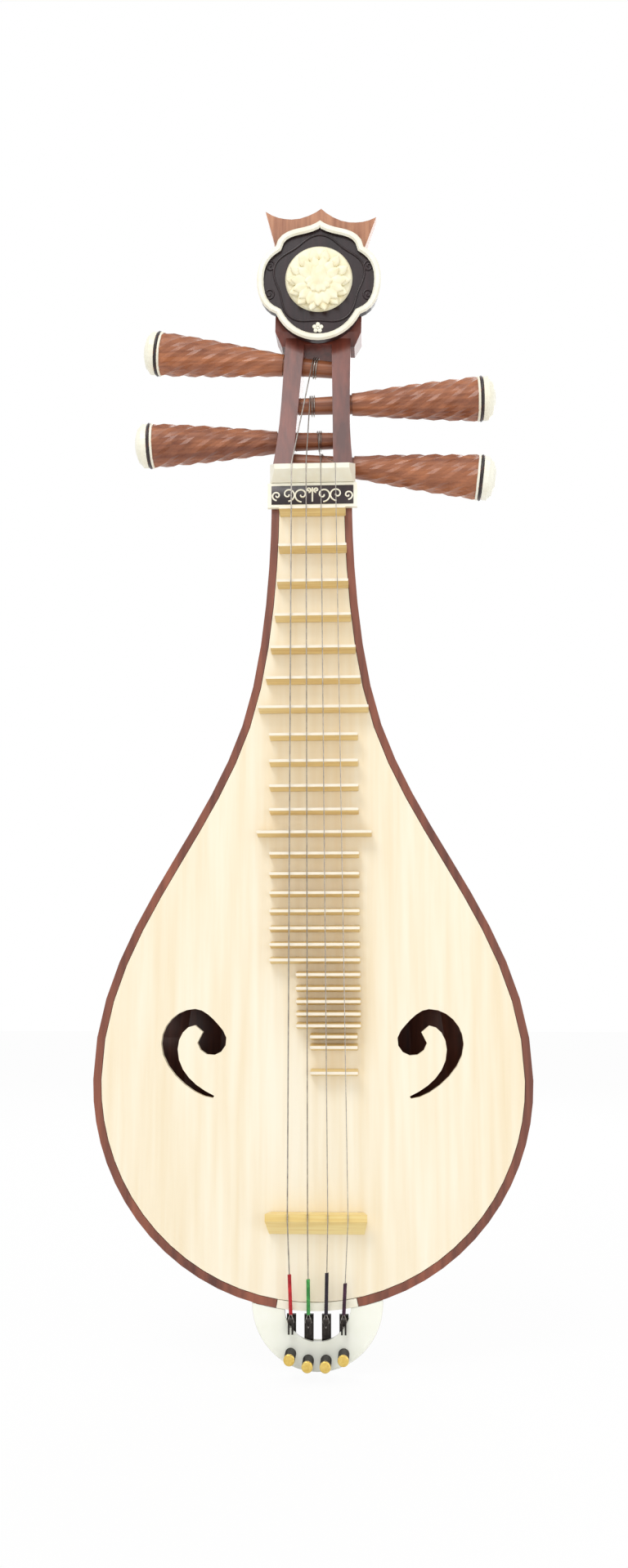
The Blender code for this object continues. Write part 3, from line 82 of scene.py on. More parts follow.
# The studio
FLOOR_DROP = 0.002
FLOOR_REACH = 6.0
FLOOR_GREY = 0.9
FLOOR_ROUGHNESS = 0.9
FLOOR_GLOW_SHARE = 0.94
WORLD_LIGHT = 0.72
WORLD_SEEN = 1.0
LAMP_AIM = Vector((0, 0, -0.12))
# Each lamp's name, place, watts and size
LAMPS = (
    ("key", (-0.5, -1.3, 1.3), 13.0, 0.9),
    ("fill", (1.0, -1.2, -0.1), 4.0, 1.2),
    ("back", (0.2, 1.4, 0.8), 8.0, 1.2),
)

# Grain: its direction, and how its two noises are mixed
ALONG_Z = (1.0, 1.0, 0.05)
ALONG_X = (0.05, 1.0, 1.0)
EVEN = (1.0, 1.0, 1.0)
FINE_DETAIL = 5.0
BROAD_SHARE = 0.12
GRAIN_LOW = 0.75
GRAIN_HIGH = 1.25
GRAIN_RELIEF = 0.0002
BUMP_STRENGTH = 0.5
COAT_ROUGHNESS = 0.2

# Places of the colours among the sockets of a Mix node
MIX_FIRST = 6
MIX_SECOND = 7
MIX_RESULT = 2

# Painted highlights: the bamboo's skin, a fret's flat top where its face looks forwards, is painted paler; the
# head's wood above a height gets lighter crown tones where the crown's polished front catches the light
LIT_TOP_FACING = -0.8
CROWN_HIGHLIGHT_START = 0.150
CROWN_HIGHLIGHT_BLEND = 0.006

# Smoothness of what is made
SHARP_ANGLE = radians(40)
WIRE_RESOLUTION = 3
RING_STEPS = 48
COIL_STEPS = 20
SCROLL_STEPS = 32
SCROLL_TIGHTENING = 0.8
SCROLL_EYE = 0.08

# The ornament's plane, as the head leans
HEAD_LEAN = radians(12)
SIDE_LEAN = radians(1.5)
ORNAMENT_TILT = radians(-5)
HEAD_START = Vector((0.0005, 0, 0.024))
ORNAMENT_UP = 0.0877
PLATE_FRONT = -0.0053

# The lotus and its seat
LOTUS_HEIGHT = 0.0378
PETALS_DROP = 0.002
PETALS_FRONT = 0.0022
PETAL_THICKNESS = 0.0016
PETAL_TAPER = 0.75
PETAL_CURL = 0.0012
PETAL_AROUND = 20
PETAL_ALONG = 14
# Each row's count, start from the middle, length, half width, first and last angle, and lift
PETAL_ROWS = (
    (14, 0.0100, 0.0092, 0.0031, 0, 334, 0.0006),
    (9, 0.0052, 0.0112, 0.0038, -178, -2, 0.0016),
    (6, 0.0020, 0.0120, 0.0040, 28, 152, 0.0020),
    (7, -0.0015, 0.0100, 0.0042, -170, -10, 0.0024),
    (3, -0.0066, 0.0150, 0.0054, 66, 114, 0.0028),
)
SEAT_FRONT = 0.0011
SEAT_WIDE_RADIUS = 0.0202
SEAT_NARROW_RADIUS = 0.0190
SEAT_DEPTH = 0.0016
SEAT_SIDES = 72
SEAT_EDGE = 0.0003

# The carving round the medallion
CARVING_LIFT = 0.0002
CARTOUCHE_HEIGHT = 0.0372
CARTOUCHE_RADIUS = 0.0262
CARTOUCHE_WAVE = 0.0018
CARTOUCHE_LOBES = 5
CARTOUCHE_STEPS = 96
HEAD_SCROLL_OUT = 0.0295
HEAD_SCROLL_SIZE = 0.0030
HEAD_SCROLL_TURNS = 1.4
# Each head scroll's height and the way it winds
HEAD_SCROLLS = ((0.046, 1), (0.029, -1))
FLOWER_HEIGHT = 0.0082
FLOWER_REACH = 0.0021
FLOWER_PETALS = 5
FLOWER_PETAL_RADIUS = 0.0013
FLOWER_HEART_RADIUS = 0.0008
FLOWER_FLATNESS = 0.45
FLOWER_AROUND = 12
FLOWER_ALONG = 8

# The nut plate's inlay
PANEL_MARGIN_X = 0.0044
PANEL_MARGIN_Z = 0.0034
PANEL_THICKNESS = 0.0003
PANEL_EDGE = 0.0001
INLAY_LIFT = 0.00035
DIVIDER_HALF = 0.0042
PLATE_SCROLL_TURNS = 1.2
# Each plate scroll's offset from the divider, height, size and the way it winds
PLATE_SCROLLS = (
    (0.0062, 0.0, 0.0040, 1),
    (0.0138, 0.0003, 0.0038, -1),
    (0.0204, -0.0004, 0.0026, 1),
    (0.0022, 0.0028, 0.0014, -1),
)

# The pegs' ends
PEG_REACH = 0.0985
PEG_END_RADIUS = 0.0133
# Each ring's name, its finish, and how far it lies inside the end's radius and behind its reach
PEG_RINGS = (
    ("dark_ring", "ebony", 0.0006, 0.0008),
    ("bone_ring", "bone", 0.0008, 0.0024),
)

# The fine tuners' knobs
TUNER_COUNT = 4
BARREL_BACK = -0.0016
BARREL_SIDES = 44
KNURL_GAP = 0.00008
GILT_LENGTH = 0.0020
GILT_SIDES = 48
GILT_EDGE = 0.0005
SHANK_RADIUS = 0.0012
SHANK_SIDES = 24
SHANK_EDGE = 0.0002

# The silk wraps and the loops between the strings and the hooks
BRIDGE_Z = -0.390
BRIDGE_BAND = 0.003
STRING_END_BAND = 0.0008
SILK_FINISHES = ("red_silk", "green_silk", "black_silk", "plum_silk")
SILK_RADIUS = 0.00066
SILK_START = 0.0002
SILK_TURNS_PER_METRE = 1500
HOOK_BEHIND_FRONT = 0.0004
HOOK_DROP = 0.0062
LOOP_START = Vector((0.0004, -0.0003, 0.0002))
LOOP_HALF_WIDTH = 0.0017
LOOP_FORWARD = 0.0002
LOOP_DROP = 0.0034


def tone(red, green, blue):
    """A linear colour from its 0 to 255 screen values."""
    screen = (red, green, blue)
    linear = [((c / 255 + 0.055) / 1.055) ** 2.4 if c > 10 else c / 3294 for c in screen]
    return (*linear, 1.0)


# Settings


def colour_setting(name, description, *screen):
    """A colour that a user would change, with its default in screen values."""
    return bpy.props.FloatVectorProperty(
        name=name, description=description, default=tone(*screen), subtype="COLOR", size=4,
        min=0.0, max=1.0,
    )


def length_setting(name, description, default):
    """A length that a user would change."""
    return bpy.props.FloatProperty(
        name=name, description=description, default=default, unit="LENGTH", min=0.0, precision=5,
    )


class WoodColours(bpy.types.PropertyGroup):
    """The light and dark tones of the woods."""

    back_light: colour_setting("Back, light", "Light fibres of the back and neck", 150, 84, 60)
    back_dark: colour_setting("Back, dark", "Dark fibres of the back and neck", 88, 44, 32)
    wall_light: colour_setting("Pegbox, light", "Light fibres of the pegbox walls", 128, 62, 46)
    wall_dark: colour_setting("Pegbox, dark", "Dark fibres of the pegbox walls", 78, 34, 26)
    # The crown's two tones are lighter than the walls' as a painted highlight on the same head wood
    crown_highlight_light: colour_setting("Crown, light", "Light fibres of the crown", 198, 140, 104)
    crown_highlight_dark: colour_setting("Crown, dark", "Dark fibres of the crown", 150, 92, 62)
    peg_light: colour_setting("Pegs, light", "Light fibres of the pegs", 186, 116, 74)
    peg_dark: colour_setting("Pegs, dark", "Dark fibres of the pegs", 122, 66, 40)
    board_light: colour_setting("Board, light", "Light fibres of the soundboard", 253, 244, 222)
    board_dark: colour_setting("Board, dark", "Dark fibres of the soundboard", 243, 226, 192)


class SilkColours(bpy.types.PropertyGroup):
    """The light and dark tones of the silk on each string's end."""

    red_light: colour_setting("Red, light", "Light threads on string 1", 214, 48, 56)
    red_dark: colour_setting("Red, dark", "Dark threads on string 1", 160, 24, 34)
    green_light: colour_setting("Green, light", "Light threads on string 2", 84, 180, 92)
    green_dark: colour_setting("Green, dark", "Dark threads on string 2", 48, 130, 62)
    black_light: colour_setting("Black, light", "Light threads on string 3", 48, 38, 54)
    black_dark: colour_setting("Black, dark", "Dark threads on string 3", 22, 16, 26)
    plum_light: colour_setting("Plum, light", "Light threads on string 4", 78, 40, 66)
    plum_dark: colour_setting("Plum, dark", "Dark threads on string 4", 44, 20, 38)


class TrimSizes(bpy.types.PropertyGroup):
    """The sizes of the trim."""

    silk_lengths: bpy.props.FloatVectorProperty(
        name="Silk lengths", description="Length of the silk on each string's end",
        default=(0.0215, 0.0190, 0.0225, 0.0170), size=4, unit="LENGTH", min=0.0, precision=5,
    )
    silk_thread: length_setting("Silk thread", "Radius of the silk thread", 0.00034)
    loop_wire: length_setting("Loop wire", "Radius of the silver loops' wire", 0.0002)
    ring_wire: length_setting("Peg rings", "Radius of the rings round the pegs' ends", 0.0008)
    inlay_wire: length_setting("Inlay", "Half width of the nut plate's scrolls", 0.00046)
    line_wire: length_setting("Carved line", "Half width of the line on the head", 0.0006)
    scroll_wire: length_setting("Head scrolls", "Half width of the head's scrolls", 0.0005)
    knurl_depth: length_setting("Knurling", "Depth of the flutes round a knob", 0.00018)


# Shared shader groups


def new_group(name, inputs, outputs):
    """An empty shader group with its sockets."""
    group = bpy.data.node_groups.new(name, "ShaderNodeTree")
    for label, kind, value in inputs:
        socket = group.interface.new_socket(label, in_out="INPUT", socket_type=kind)
        socket.default_value = value
    for label, kind in outputs:
        group.interface.new_socket(label, in_out="OUTPUT", socket_type=kind)
    start = group.nodes.new("NodeGroupInput")
    end = group.nodes.new("NodeGroupOutput")
    return group, start, end


def add_blend(tree, factor, first):
    """A mix of two colours by a factor, with its second colour still to be given."""
    blend = tree.nodes.new("ShaderNodeMix")
    blend.data_type = "RGBA"
    tree.links.new(factor, blend.inputs["Factor"])
    tree.links.new(first, blend.inputs[MIX_FIRST])
    return blend


def grain_group():
    """Long fibres with a slow change of tone under them."""
    white = (1.0, 1.0, 1.0, 1.0)
    inputs = (
        ("Light", "NodeSocketColor", white),
        ("Dark", "NodeSocketColor", white),
        ("Fibres", "NodeSocketFloat", 300.0),
        ("Stretch", "NodeSocketVector", ALONG_Z),
    )
    outputs = (("Color", "NodeSocketColor"), ("Height", "NodeSocketFloat"))
    group, start, end = new_group("wood_grain", inputs, outputs)
    nodes, links = group.nodes, group.links
    place = nodes.new("ShaderNodeTexCoord")
    squeeze = nodes.new("ShaderNodeVectorMath")
    squeeze.operation = "MULTIPLY"
    links.new(place.outputs["Object"], squeeze.inputs[0])
    links.new(start.outputs["Stretch"], squeeze.inputs[1])
    fine = nodes.new("ShaderNodeTexNoise")
    fine.inputs["Detail"].default_value = FINE_DETAIL
    links.new(squeeze.outputs[0], fine.inputs["Vector"])
    links.new(start.outputs["Fibres"], fine.inputs["Scale"])
    share = nodes.new("ShaderNodeMath")
    share.operation = "MULTIPLY"
    share.inputs[1].default_value = BROAD_SHARE
    links.new(start.outputs["Fibres"], share.inputs[0])
    broad = nodes.new("ShaderNodeTexNoise")
    links.new(squeeze.outputs[0], broad.inputs["Vector"])
    links.new(share.outputs[0], broad.inputs["Scale"])
    both = nodes.new("ShaderNodeMath")
    both.operation = "ADD"
    links.new(fine.outputs["Fac"], both.inputs[0])
    links.new(broad.outputs["Fac"], both.inputs[1])
    spread = nodes.new("ShaderNodeMapRange")
    spread.inputs["From Min"].default_value = GRAIN_LOW
    spread.inputs["From Max"].default_value = GRAIN_HIGH
    links.new(both.outputs[0], spread.inputs["Value"])
    blend = add_blend(group, spread.outputs["Result"], start.outputs["Dark"])
    links.new(start.outputs["Light"], blend.inputs[MIX_SECOND])
    links.new(blend.outputs[MIX_RESULT], end.inputs["Color"])
    links.new(fine.outputs["Fac"], end.inputs["Height"])
    return group


GRAIN = grain_group()


# Finishes


def add_grain(nodes, name, light, dark, fibres, stretch):
    """The shared grain placed in a material with its own values."""
    grain = nodes.new("ShaderNodeGroup")
    grain.name = name
    grain.node_tree = GRAIN
    grain.inputs["Light"].default_value = light
    grain.inputs["Dark"].default_value = dark
    grain.inputs["Fibres"].default_value = fibres
    grain.inputs["Stretch"].default_value = stretch
    return grain


def finish(
    name, light, dark, fibres, stretch, roughness, metallic=0.0, relief=GRAIN_RELIEF, coat=0.0
):
    """A material whose colour and relief come from the shared grain."""
    made = bpy.data.materials.new(name)
    made.use_nodes = True
    nodes, links = made.node_tree.nodes, made.node_tree.links
    shader = nodes["Principled BSDF"]
    shader.inputs["Roughness"].default_value = roughness
    shader.inputs["Metallic"].default_value = metallic
    shader.inputs["Coat Weight"].default_value = coat
    shader.inputs["Coat Roughness"].default_value = COAT_ROUGHNESS
    grain = add_grain(nodes, "grain", light, dark, fibres, stretch)
    bump = nodes.new("ShaderNodeBump")
    bump.inputs["Distance"].default_value = relief
    bump.inputs["Strength"].default_value = BUMP_STRENGTH
    links.new(grain.outputs["Height"], bump.inputs["Height"])
    links.new(grain.outputs["Color"], shader.inputs["Base Color"])
    links.new(bump.outputs["Normal"], shader.inputs["Normal"])
    return made


def fret_finish():
    """Bamboo whose skin side, the flat top, is painted paler than its cut slopes: a painted highlight on the faces
    that look forwards.
    """
    made = finish("bamboo_fret", tone(240, 217, 158), tone(216, 184, 116), 900, ALONG_X, 0.45)
    tree = made.node_tree
    nodes, links = tree.nodes, tree.links
    facing = nodes.new("ShaderNodeNewGeometry")
    parts = nodes.new("ShaderNodeSeparateXYZ")
    links.new(facing.outputs["Normal"], parts.inputs[0])
    # Faces whose normal looks forwards, towards the camera and the front lamps, get the painted highlight
    front = nodes.new("ShaderNodeMath")
    front.operation = "LESS_THAN"
    front.inputs[1].default_value = LIT_TOP_FACING
    links.new(parts.outputs["Y"], front.inputs[0])
    blend = add_blend(tree, front.outputs[0], nodes["grain"].outputs["Color"])
    # The pale tone of the painted highlight on the forward faces
    blend.inputs[MIX_SECOND].default_value = tone(248, 238, 218)
    links.new(blend.outputs[MIX_RESULT], nodes["Principled BSDF"].inputs["Base Color"])
    return made


def head_finish(woods):
    """The head's wood: dark reddish walls, and a lighter crown above the ornament, its lighter tone a painted
    highlight where the crown's polished front catches the light.
    """
    made = finish("head_wood_painted_highlight", woods.wall_light, woods.wall_dark, 260, ALONG_Z, 0.38, coat=0.3)
    tree = made.node_tree
    nodes, links = tree.nodes, tree.links
    # The crown's lighter grain is a painted highlight, where its polished front catches the light
    crown = add_grain(nodes, "crown_highlight_grain", woods.crown_highlight_light, woods.crown_highlight_dark, 420, ALONG_Z)
    place = nodes.new("ShaderNodeTexCoord")
    parts = nodes.new("ShaderNodeSeparateXYZ")
    links.new(place.outputs["Object"], parts.inputs[0])
    height = nodes.new("ShaderNodeMapRange")
    height.inputs["From Min"].default_value = CROWN_HIGHLIGHT_START
    height.inputs["From Max"].default_value = CROWN_HIGHLIGHT_START + CROWN_HIGHLIGHT_BLEND
    links.new(parts.outputs["Z"], height.inputs["Value"])
    # Above the height, the painted highlight of the crown's tones takes over from the walls' grain
    blend = add_blend(tree, height.outputs["Result"], nodes["grain"].outputs["Color"])
    links.new(crown.outputs["Color"], blend.inputs[MIX_SECOND])
    links.new(blend.outputs[MIX_RESULT], nodes["Principled BSDF"].inputs["Base Color"])
    return made


def wood_finishes(woods):
    """The woods and bamboos, by the name that a slot or piece calls them."""
    return {
        "head": head_finish(woods),
        "rosewood": finish(
            "rosewood", woods.back_light, woods.back_dark, 260, ALONG_Z, 0.38, coat=0.3
        ),
        "pegwood": finish(
            "pegwood", woods.peg_light, woods.peg_dark, 320, ALONG_X, 0.4, coat=0.25
        ),
        "paulownia": finish(
            "paulownia", woods.board_light, woods.board_dark, 170, ALONG_Z, 0.6
        ),
        "spruce": finish("spruce", tone(220, 190, 140), tone(190, 150, 100), 240, ALONG_X, 0.7),
        "bamboo": finish(
            "bamboo_bridge", tone(248, 226, 160), tone(232, 200, 122), 700, ALONG_X, 0.4
        ),
        "fret": fret_finish(),
        "ebony": finish(
            "ebony", tone(46, 24, 28), tone(22, 11, 14), 420, ALONG_Z, 0.32, coat=0.15
        ),
    }


def other_finishes():
    """Bone, plastic and metals, by the name that a slot or piece calls them."""
    return {
        "bone": finish(
            "bone", tone(255, 253, 238), tone(247, 241, 218), 120, EVEN, 0.35, relief=0.0001
        ),
        "lotus": finish("lotus_ivory", tone(255, 252, 228), tone(244, 232, 190), 160, EVEN, 0.38),
        "tail_plastic": finish(
            "tail_plastic", tone(253, 254, 244), tone(247, 249, 234), 90, EVEN, 0.25, coat=0.4
        ),
        "string_steel": finish(
            "string_steel", tone(190, 184, 176), tone(140, 134, 128), 2000, EVEN, 0.3, 1.0
        ),
        "black_metal": finish(
            "black_metal", tone(62, 56, 52), tone(36, 32, 30), 800, EVEN, 0.4, 0.7
        ),
        "gold": finish("gold_plate", tone(245, 218, 132), tone(222, 186, 92), 900, EVEN, 0.25, 1.0),
    }


def silk_finish(name, light, dark):
    """Dyed silk thread."""
    return finish(name, light, dark, 2500, EVEN, 0.7)


def silk_finishes(silks):
    """The four silks, by the name that a string's end calls them."""
    return {
        "red_silk": silk_finish("red_silk", silks.red_light, silks.red_dark),
        "green_silk": silk_finish("green_silk", silks.green_light, silks.green_dark),
        "black_silk": silk_finish("black_silk", silks.black_light, silks.black_dark),
        "plum_silk": silk_finish("plum_silk", silks.plum_light, silks.plum_dark),
    }


# Filled by the finishes operator, before any piece is made
FINISH = {}


def paint_frame():
    """Every CAD node gets the finish of its slot."""
    for entry in frame["record"]["subparts"]:
        node = entry["node"]
        slot = entry["material_slot"]
        finish_name = "fret" if node.startswith("fret_") else slot
        if node == "headstock":
            finish_name = "head"
        mesh = frame["nodes"][node].data
        mesh.materials.clear()
        mesh.materials.append(FINISH[finish_name])


# Making pieces


def settle(thing, material, body=LUTE):
    """Gives a finished piece its material and the body that it rides on."""
    bpy.context.scene.collection.objects.link(thing)
    thing.data.materials.append(FINISH[material])
    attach(thing, body)
    return thing


def mesh_piece(name, form, material, body=LUTE):
    """A piece from a bmesh."""
    bmesh.ops.recalc_face_normals(form, faces=form.faces)
    mesh = bpy.data.meshes.new(name)
    form.to_mesh(mesh)
    form.free()
    mesh.shade_smooth()
    mesh.set_sharp_from_angle(angle=SHARP_ANGLE)
    return settle(bpy.data.objects.new(name, mesh), material, body)


def wire_piece(name, runs, radius, material, body=LUTE, cyclic=False):
    """A piece of one or more round wires, each along its own points."""
    data = bpy.data.curves.new(name, "CURVE")
    data.dimensions = "3D"
    data.bevel_depth = radius
    data.bevel_resolution = WIRE_RESOLUTION
    data.use_fill_caps = True
    for points in runs:
        spline = data.splines.new("POLY")
        spline.points.add(len(points) - 1)
        spline.use_smooth = True
        spline.use_cyclic_u = cyclic
        for spot, point in zip(spline.points, points):
            spot.co = (*point, 1)
    return settle(bpy.data.objects.new(name, data), material, body)


def round_edges(form, edges, offset, segments):
    """Rounds some edges of a bmesh."""
    bmesh.ops.bevel(
        form, geom=edges, offset=offset, offset_type="OFFSET", segments=segments, profile=0.5,
        affect="EDGES", material=-1,
    )


def drum(x, z, front, back, radius, sides):
    """A closed cylinder along Y, from its front to its back."""
    form = bmesh.new()
    place = Matrix.Translation((x, (back + front) / 2, z))
    bmesh.ops.create_cone(
        form, cap_ends=True, segments=sides, radius1=radius, radius2=radius, depth=back - front,
        matrix=place @ Matrix.Rotation(pi / 2, 4, "X"),
    )
    return form


def cap_edges(form):
    """The edges round a cylinder's two ends."""
    return [e for e in form.edges if any(len(f.verts) > 4 for f in e.link_faces)]


def ornament_matrix():
    """The ornament's plane: x across, y up, z into the head."""
    spin = Matrix.Rotation(SIDE_LEAN, 3, "Y") @ Matrix.Rotation(-HEAD_LEAN, 3, "X")
    foot = HEAD_START + spin @ Vector((0, 0, ORNAMENT_UP))
    tilt = Matrix.Rotation(SIDE_LEAN, 4, "Y") @ Matrix.Rotation(-ORNAMENT_TILT, 4, "X")
    facing = Matrix(((1, 0, 0, 0), (0, 0, 1, 0), (0, 1, 0, 0), (0, 0, 0, 1)))
    return Matrix.Translation(foot) @ tilt @ facing


ORNAMENT = ornament_matrix()


def axis_matrix(place, axis):
    """A frame whose Z runs along an axis."""
    turn = Vector(axis).to_track_quat("Z", "Y").to_matrix().to_4x4()
    return Matrix.Translation(Vector(place)) @ turn


def ring_points(matrix, radius, height):
    """Points round a circle at a height along a frame's Z."""
    points = []
    for i in range(RING_STEPS):
        angle = i * (2 * pi / RING_STEPS)
        points.append(matrix @ Vector((radius * cos(angle), radius * sin(angle), height)))
    return points


def coil_points(matrix, radius, low, high, turns):
    """Points of a close winding round a frame's Z."""
    count = turns * COIL_STEPS
    points = []
    for i in range(count + 1):
        angle = 2 * pi * turns * i / count
        height = low + (high - low) * i / count
        points.append(matrix @ Vector((radius * cos(angle), radius * sin(angle), height)))
    return points


def spiral(centre, size, start, turns, hand):
    """A flat scroll that winds in to its centre, on the ornament's or plate's plane."""
    points = []
    for i in range(SCROLL_STEPS + 1):
        share = i / SCROLL_STEPS
        reach = size * (1 - share) ** SCROLL_TIGHTENING + size * SCROLL_EYE
        angle = start + hand * 2 * pi * turns * share
        points.append((centre[0] + reach * cos(angle), centre[1] + reach * sin(angle)))
    return points


# The lotus


def add_petal(form, place, length, width):
    """One petal: a flattened ball that narrows and curls towards its tip."""
    before = set(form.verts)
    bmesh.ops.create_uvsphere(
        form, u_segments=PETAL_AROUND, v_segments=PETAL_ALONG, radius=1.0
    )
    petal = [v for v in form.verts if v not in before]
    for vert in petal:
        tip = max(0.0, vert.co.x)
        vert.co.y *= width * (1 - PETAL_TAPER * tip * tip)
        vert.co.z *= PETAL_THICKNESS
        vert.co.z -= PETAL_CURL * tip * tip
        vert.co.x *= length / 2
    bmesh.ops.transform(form, matrix=place, verts=petal)


def make_petals():
    """Rows of petals that stand out further towards the bud."""
    form = bmesh.new()
    for count, start, length, width, first, last, lift in PETAL_ROWS:
        for i in range(count):
            angle = radians(first + (last - first) * i / (count - 1))
            height = LOTUS_HEIGHT - PETALS_DROP
            move = Matrix.Translation((0, height, PLATE_FRONT - PETALS_FRONT - lift))
            turn = Matrix.Rotation(angle, 4, "Z") @ Matrix.Translation((start + length / 2, 0, 0))
            add_petal(form, ORNAMENT @ move @ turn, length, width)
    return mesh_piece("lotus_petals", form, "lotus")


def make_seat():
    """The round seat behind the petals."""
    form = bmesh.new()
    place = ORNAMENT @ Matrix.Translation((0, LOTUS_HEIGHT, PLATE_FRONT - SEAT_FRONT))
    bmesh.ops.create_cone(
        form, cap_ends=True, segments=SEAT_SIDES, radius1=SEAT_WIDE_RADIUS,
        radius2=SEAT_NARROW_RADIUS, depth=SEAT_DEPTH, matrix=place @ Matrix.Rotation(pi, 4, "X"),
    )
    shared = [e for e in form.edges if len(e.link_faces) == 2]
    round_edges(form, shared, SEAT_EDGE, 2)
    return mesh_piece("lotus_seat", form, "lotus")


# The head's carving


def cartouche_points(lift):
    """The five-lobed line round the medallion."""
    line = []
    for i in range(CARTOUCHE_STEPS):
        angle = 2 * pi * i / CARTOUCHE_STEPS
        reach = CARTOUCHE_RADIUS + CARTOUCHE_WAVE * cos(CARTOUCHE_LOBES * (angle - pi / 2))
        across = reach * cos(angle)
        up = CARTOUCHE_HEIGHT + reach * sin(angle)
        line.append(ORNAMENT @ Vector((across, up, lift)))
    return line


def head_scroll_runs(lift):
    """The small scrolls at the ornament's sides."""
    runs = []
    for side in (-1, 1):
        for height, hand in HEAD_SCROLLS:
            flat = spiral(
                (side * HEAD_SCROLL_OUT, height), HEAD_SCROLL_SIZE, pi / 2 * hand,
                HEAD_SCROLL_TURNS, hand * side,
            )
            runs.append([ORNAMENT @ Vector((x, y, lift)) for x, y in flat])
    return runs


def make_flower(lift):
    """The plum flower: five round petals, then its heart."""
    form = bmesh.new()
    squash = Matrix.Diagonal((1, 1, FLOWER_FLATNESS, 1))
    for i in range(FLOWER_PETALS + 1):
        heart = i == FLOWER_PETALS
        angle = 2 * pi * i / FLOWER_PETALS + pi / 2
        reach = 0.0 if heart else FLOWER_REACH
        spot = Vector((reach * cos(angle), FLOWER_HEIGHT + reach * sin(angle), lift))
        bmesh.ops.create_uvsphere(
            form, u_segments=FLOWER_AROUND, v_segments=FLOWER_ALONG,
            radius=FLOWER_HEART_RADIUS if heart else FLOWER_PETAL_RADIUS,
            matrix=ORNAMENT @ Matrix.Translation(spot) @ squash,
        )
    return mesh_piece("plum_flower", form, "bone")


# The nut plate's inlay


def make_panel(middle, low, high):
    """The thin dark panel let into the nut plate's face."""
    form = bmesh.new()
    width = high.x - low.x - PANEL_MARGIN_X
    height = high.z - low.z - PANEL_MARGIN_Z
    size = Matrix.Diagonal((width, PANEL_THICKNESS, height, 1))
    place = Matrix.Translation((middle.x, low.y - PANEL_THICKNESS / 2, middle.z))
    bmesh.ops.create_cube(form, size=1.0, matrix=place @ size)
    round_edges(form, list(form.edges), PANEL_EDGE, 2)
    return mesh_piece("plate_panel", form, "ebony")


def plate_scroll_runs(middle, front):
    """The upright divider and the vine scrolls at both its sides."""
    y = front - INLAY_LIFT
    foot = Vector((middle.x, y, middle.z - DIVIDER_HALF))
    top = Vector((middle.x, y, middle.z + DIVIDER_HALF))
    runs = [[foot, top]]
    for side in (-1, 1):
        for offset, height, size, hand in PLATE_SCROLLS:
            flat = spiral(
                (side * offset, height), size, -pi / 2, PLATE_SCROLL_TURNS, hand * side
            )
            runs.append([Vector((middle.x + x, y, middle.z + z)) for x, z in flat])
    return runs


# The tail


def make_barrel(number, body, middle, front, radius, knurl_depth):
    """A knob's black barrel, with flutes pressed into its side."""
    form = drum(middle.x, middle.z, front, BARREL_BACK, radius, BARREL_SIDES)
    sides = [f for f in form.faces if len(f.verts) == 4]
    bmesh.ops.inset_individual(form, faces=sides, thickness=KNURL_GAP, depth=-knurl_depth)
    return mesh_piece(f"knurled_barrel_{number}", form, "black_metal", body)


def make_gilt_cap(number, body, middle, front, back, radius):
    """A knob's gilt front, with its rims rounded."""
    form = drum(middle.x, middle.z, front, back, radius, GILT_SIDES)
    round_edges(form, cap_edges(form), GILT_EDGE, 3)
    return mesh_piece(f"gilt_cap_{number}", form, "gold", body)


def make_shank(number, body, middle, back):
    """The screw behind a knob, with a small chamfer at its tip."""
    form = drum(middle.x, middle.z, BARREL_BACK, back, SHANK_RADIUS, SHANK_SIDES)
    round_edges(form, cap_edges(form), SHANK_EDGE, 1)
    return mesh_piece(f"screw_shank_{number}", form, "black_metal", body)


def string_end(mesh):
    """The middle of a string's tail end."""
    lowest = min((v.co for v in mesh.vertices), key=lambda point: point.z).copy()
    near = [v.co for v in mesh.vertices if v.co.z < lowest.z + STRING_END_BAND]
    return sum(near, Vector()) / len(near)


def string_climb(mesh, end):
    """The direction of a string from its tail end to the bridge."""
    bridge = [v.co for v in mesh.vertices if abs(v.co.z - BRIDGE_Z) < BRIDGE_BAND]
    return (sum(bridge, Vector()) / len(bridge) - end).normalized()


def loop_runs(end, low, high):
    """The two wires of a loop, from the string's end round to the lever's hook."""
    middle = (low.x + high.x) / 2
    hook = Vector((middle, low.y + HOOK_BEHIND_FRONT, end.z - HOOK_DROP))
    runs = []
    for side in (-1, 1):
        start = end + Vector((side * LOOP_START.x, LOOP_START.y, LOOP_START.z))
        bend = Vector((middle + side * LOOP_HALF_WIDTH, end.y - LOOP_FORWARD, end.z - LOOP_DROP))
        runs.append([start, bend, hook])
    return runs


# The stage


def add_camera(scene):
    """The camera of the photograph."""
    data = bpy.data.cameras.new("photo_camera")
    data.lens = CAMERA_LENS
    data.sensor_width = SENSOR_WIDTH
    data.sensor_fit = "AUTO"
    data.clip_start = CLIP_START
    camera = bpy.data.objects.new("photo_camera", data)
    camera.location = CAMERA_PLACE
    camera.rotation_euler = (radians(CAMERA_PITCH), 0, radians(CAMERA_YAW))
    scene.collection.objects.link(camera)
    scene.camera = camera


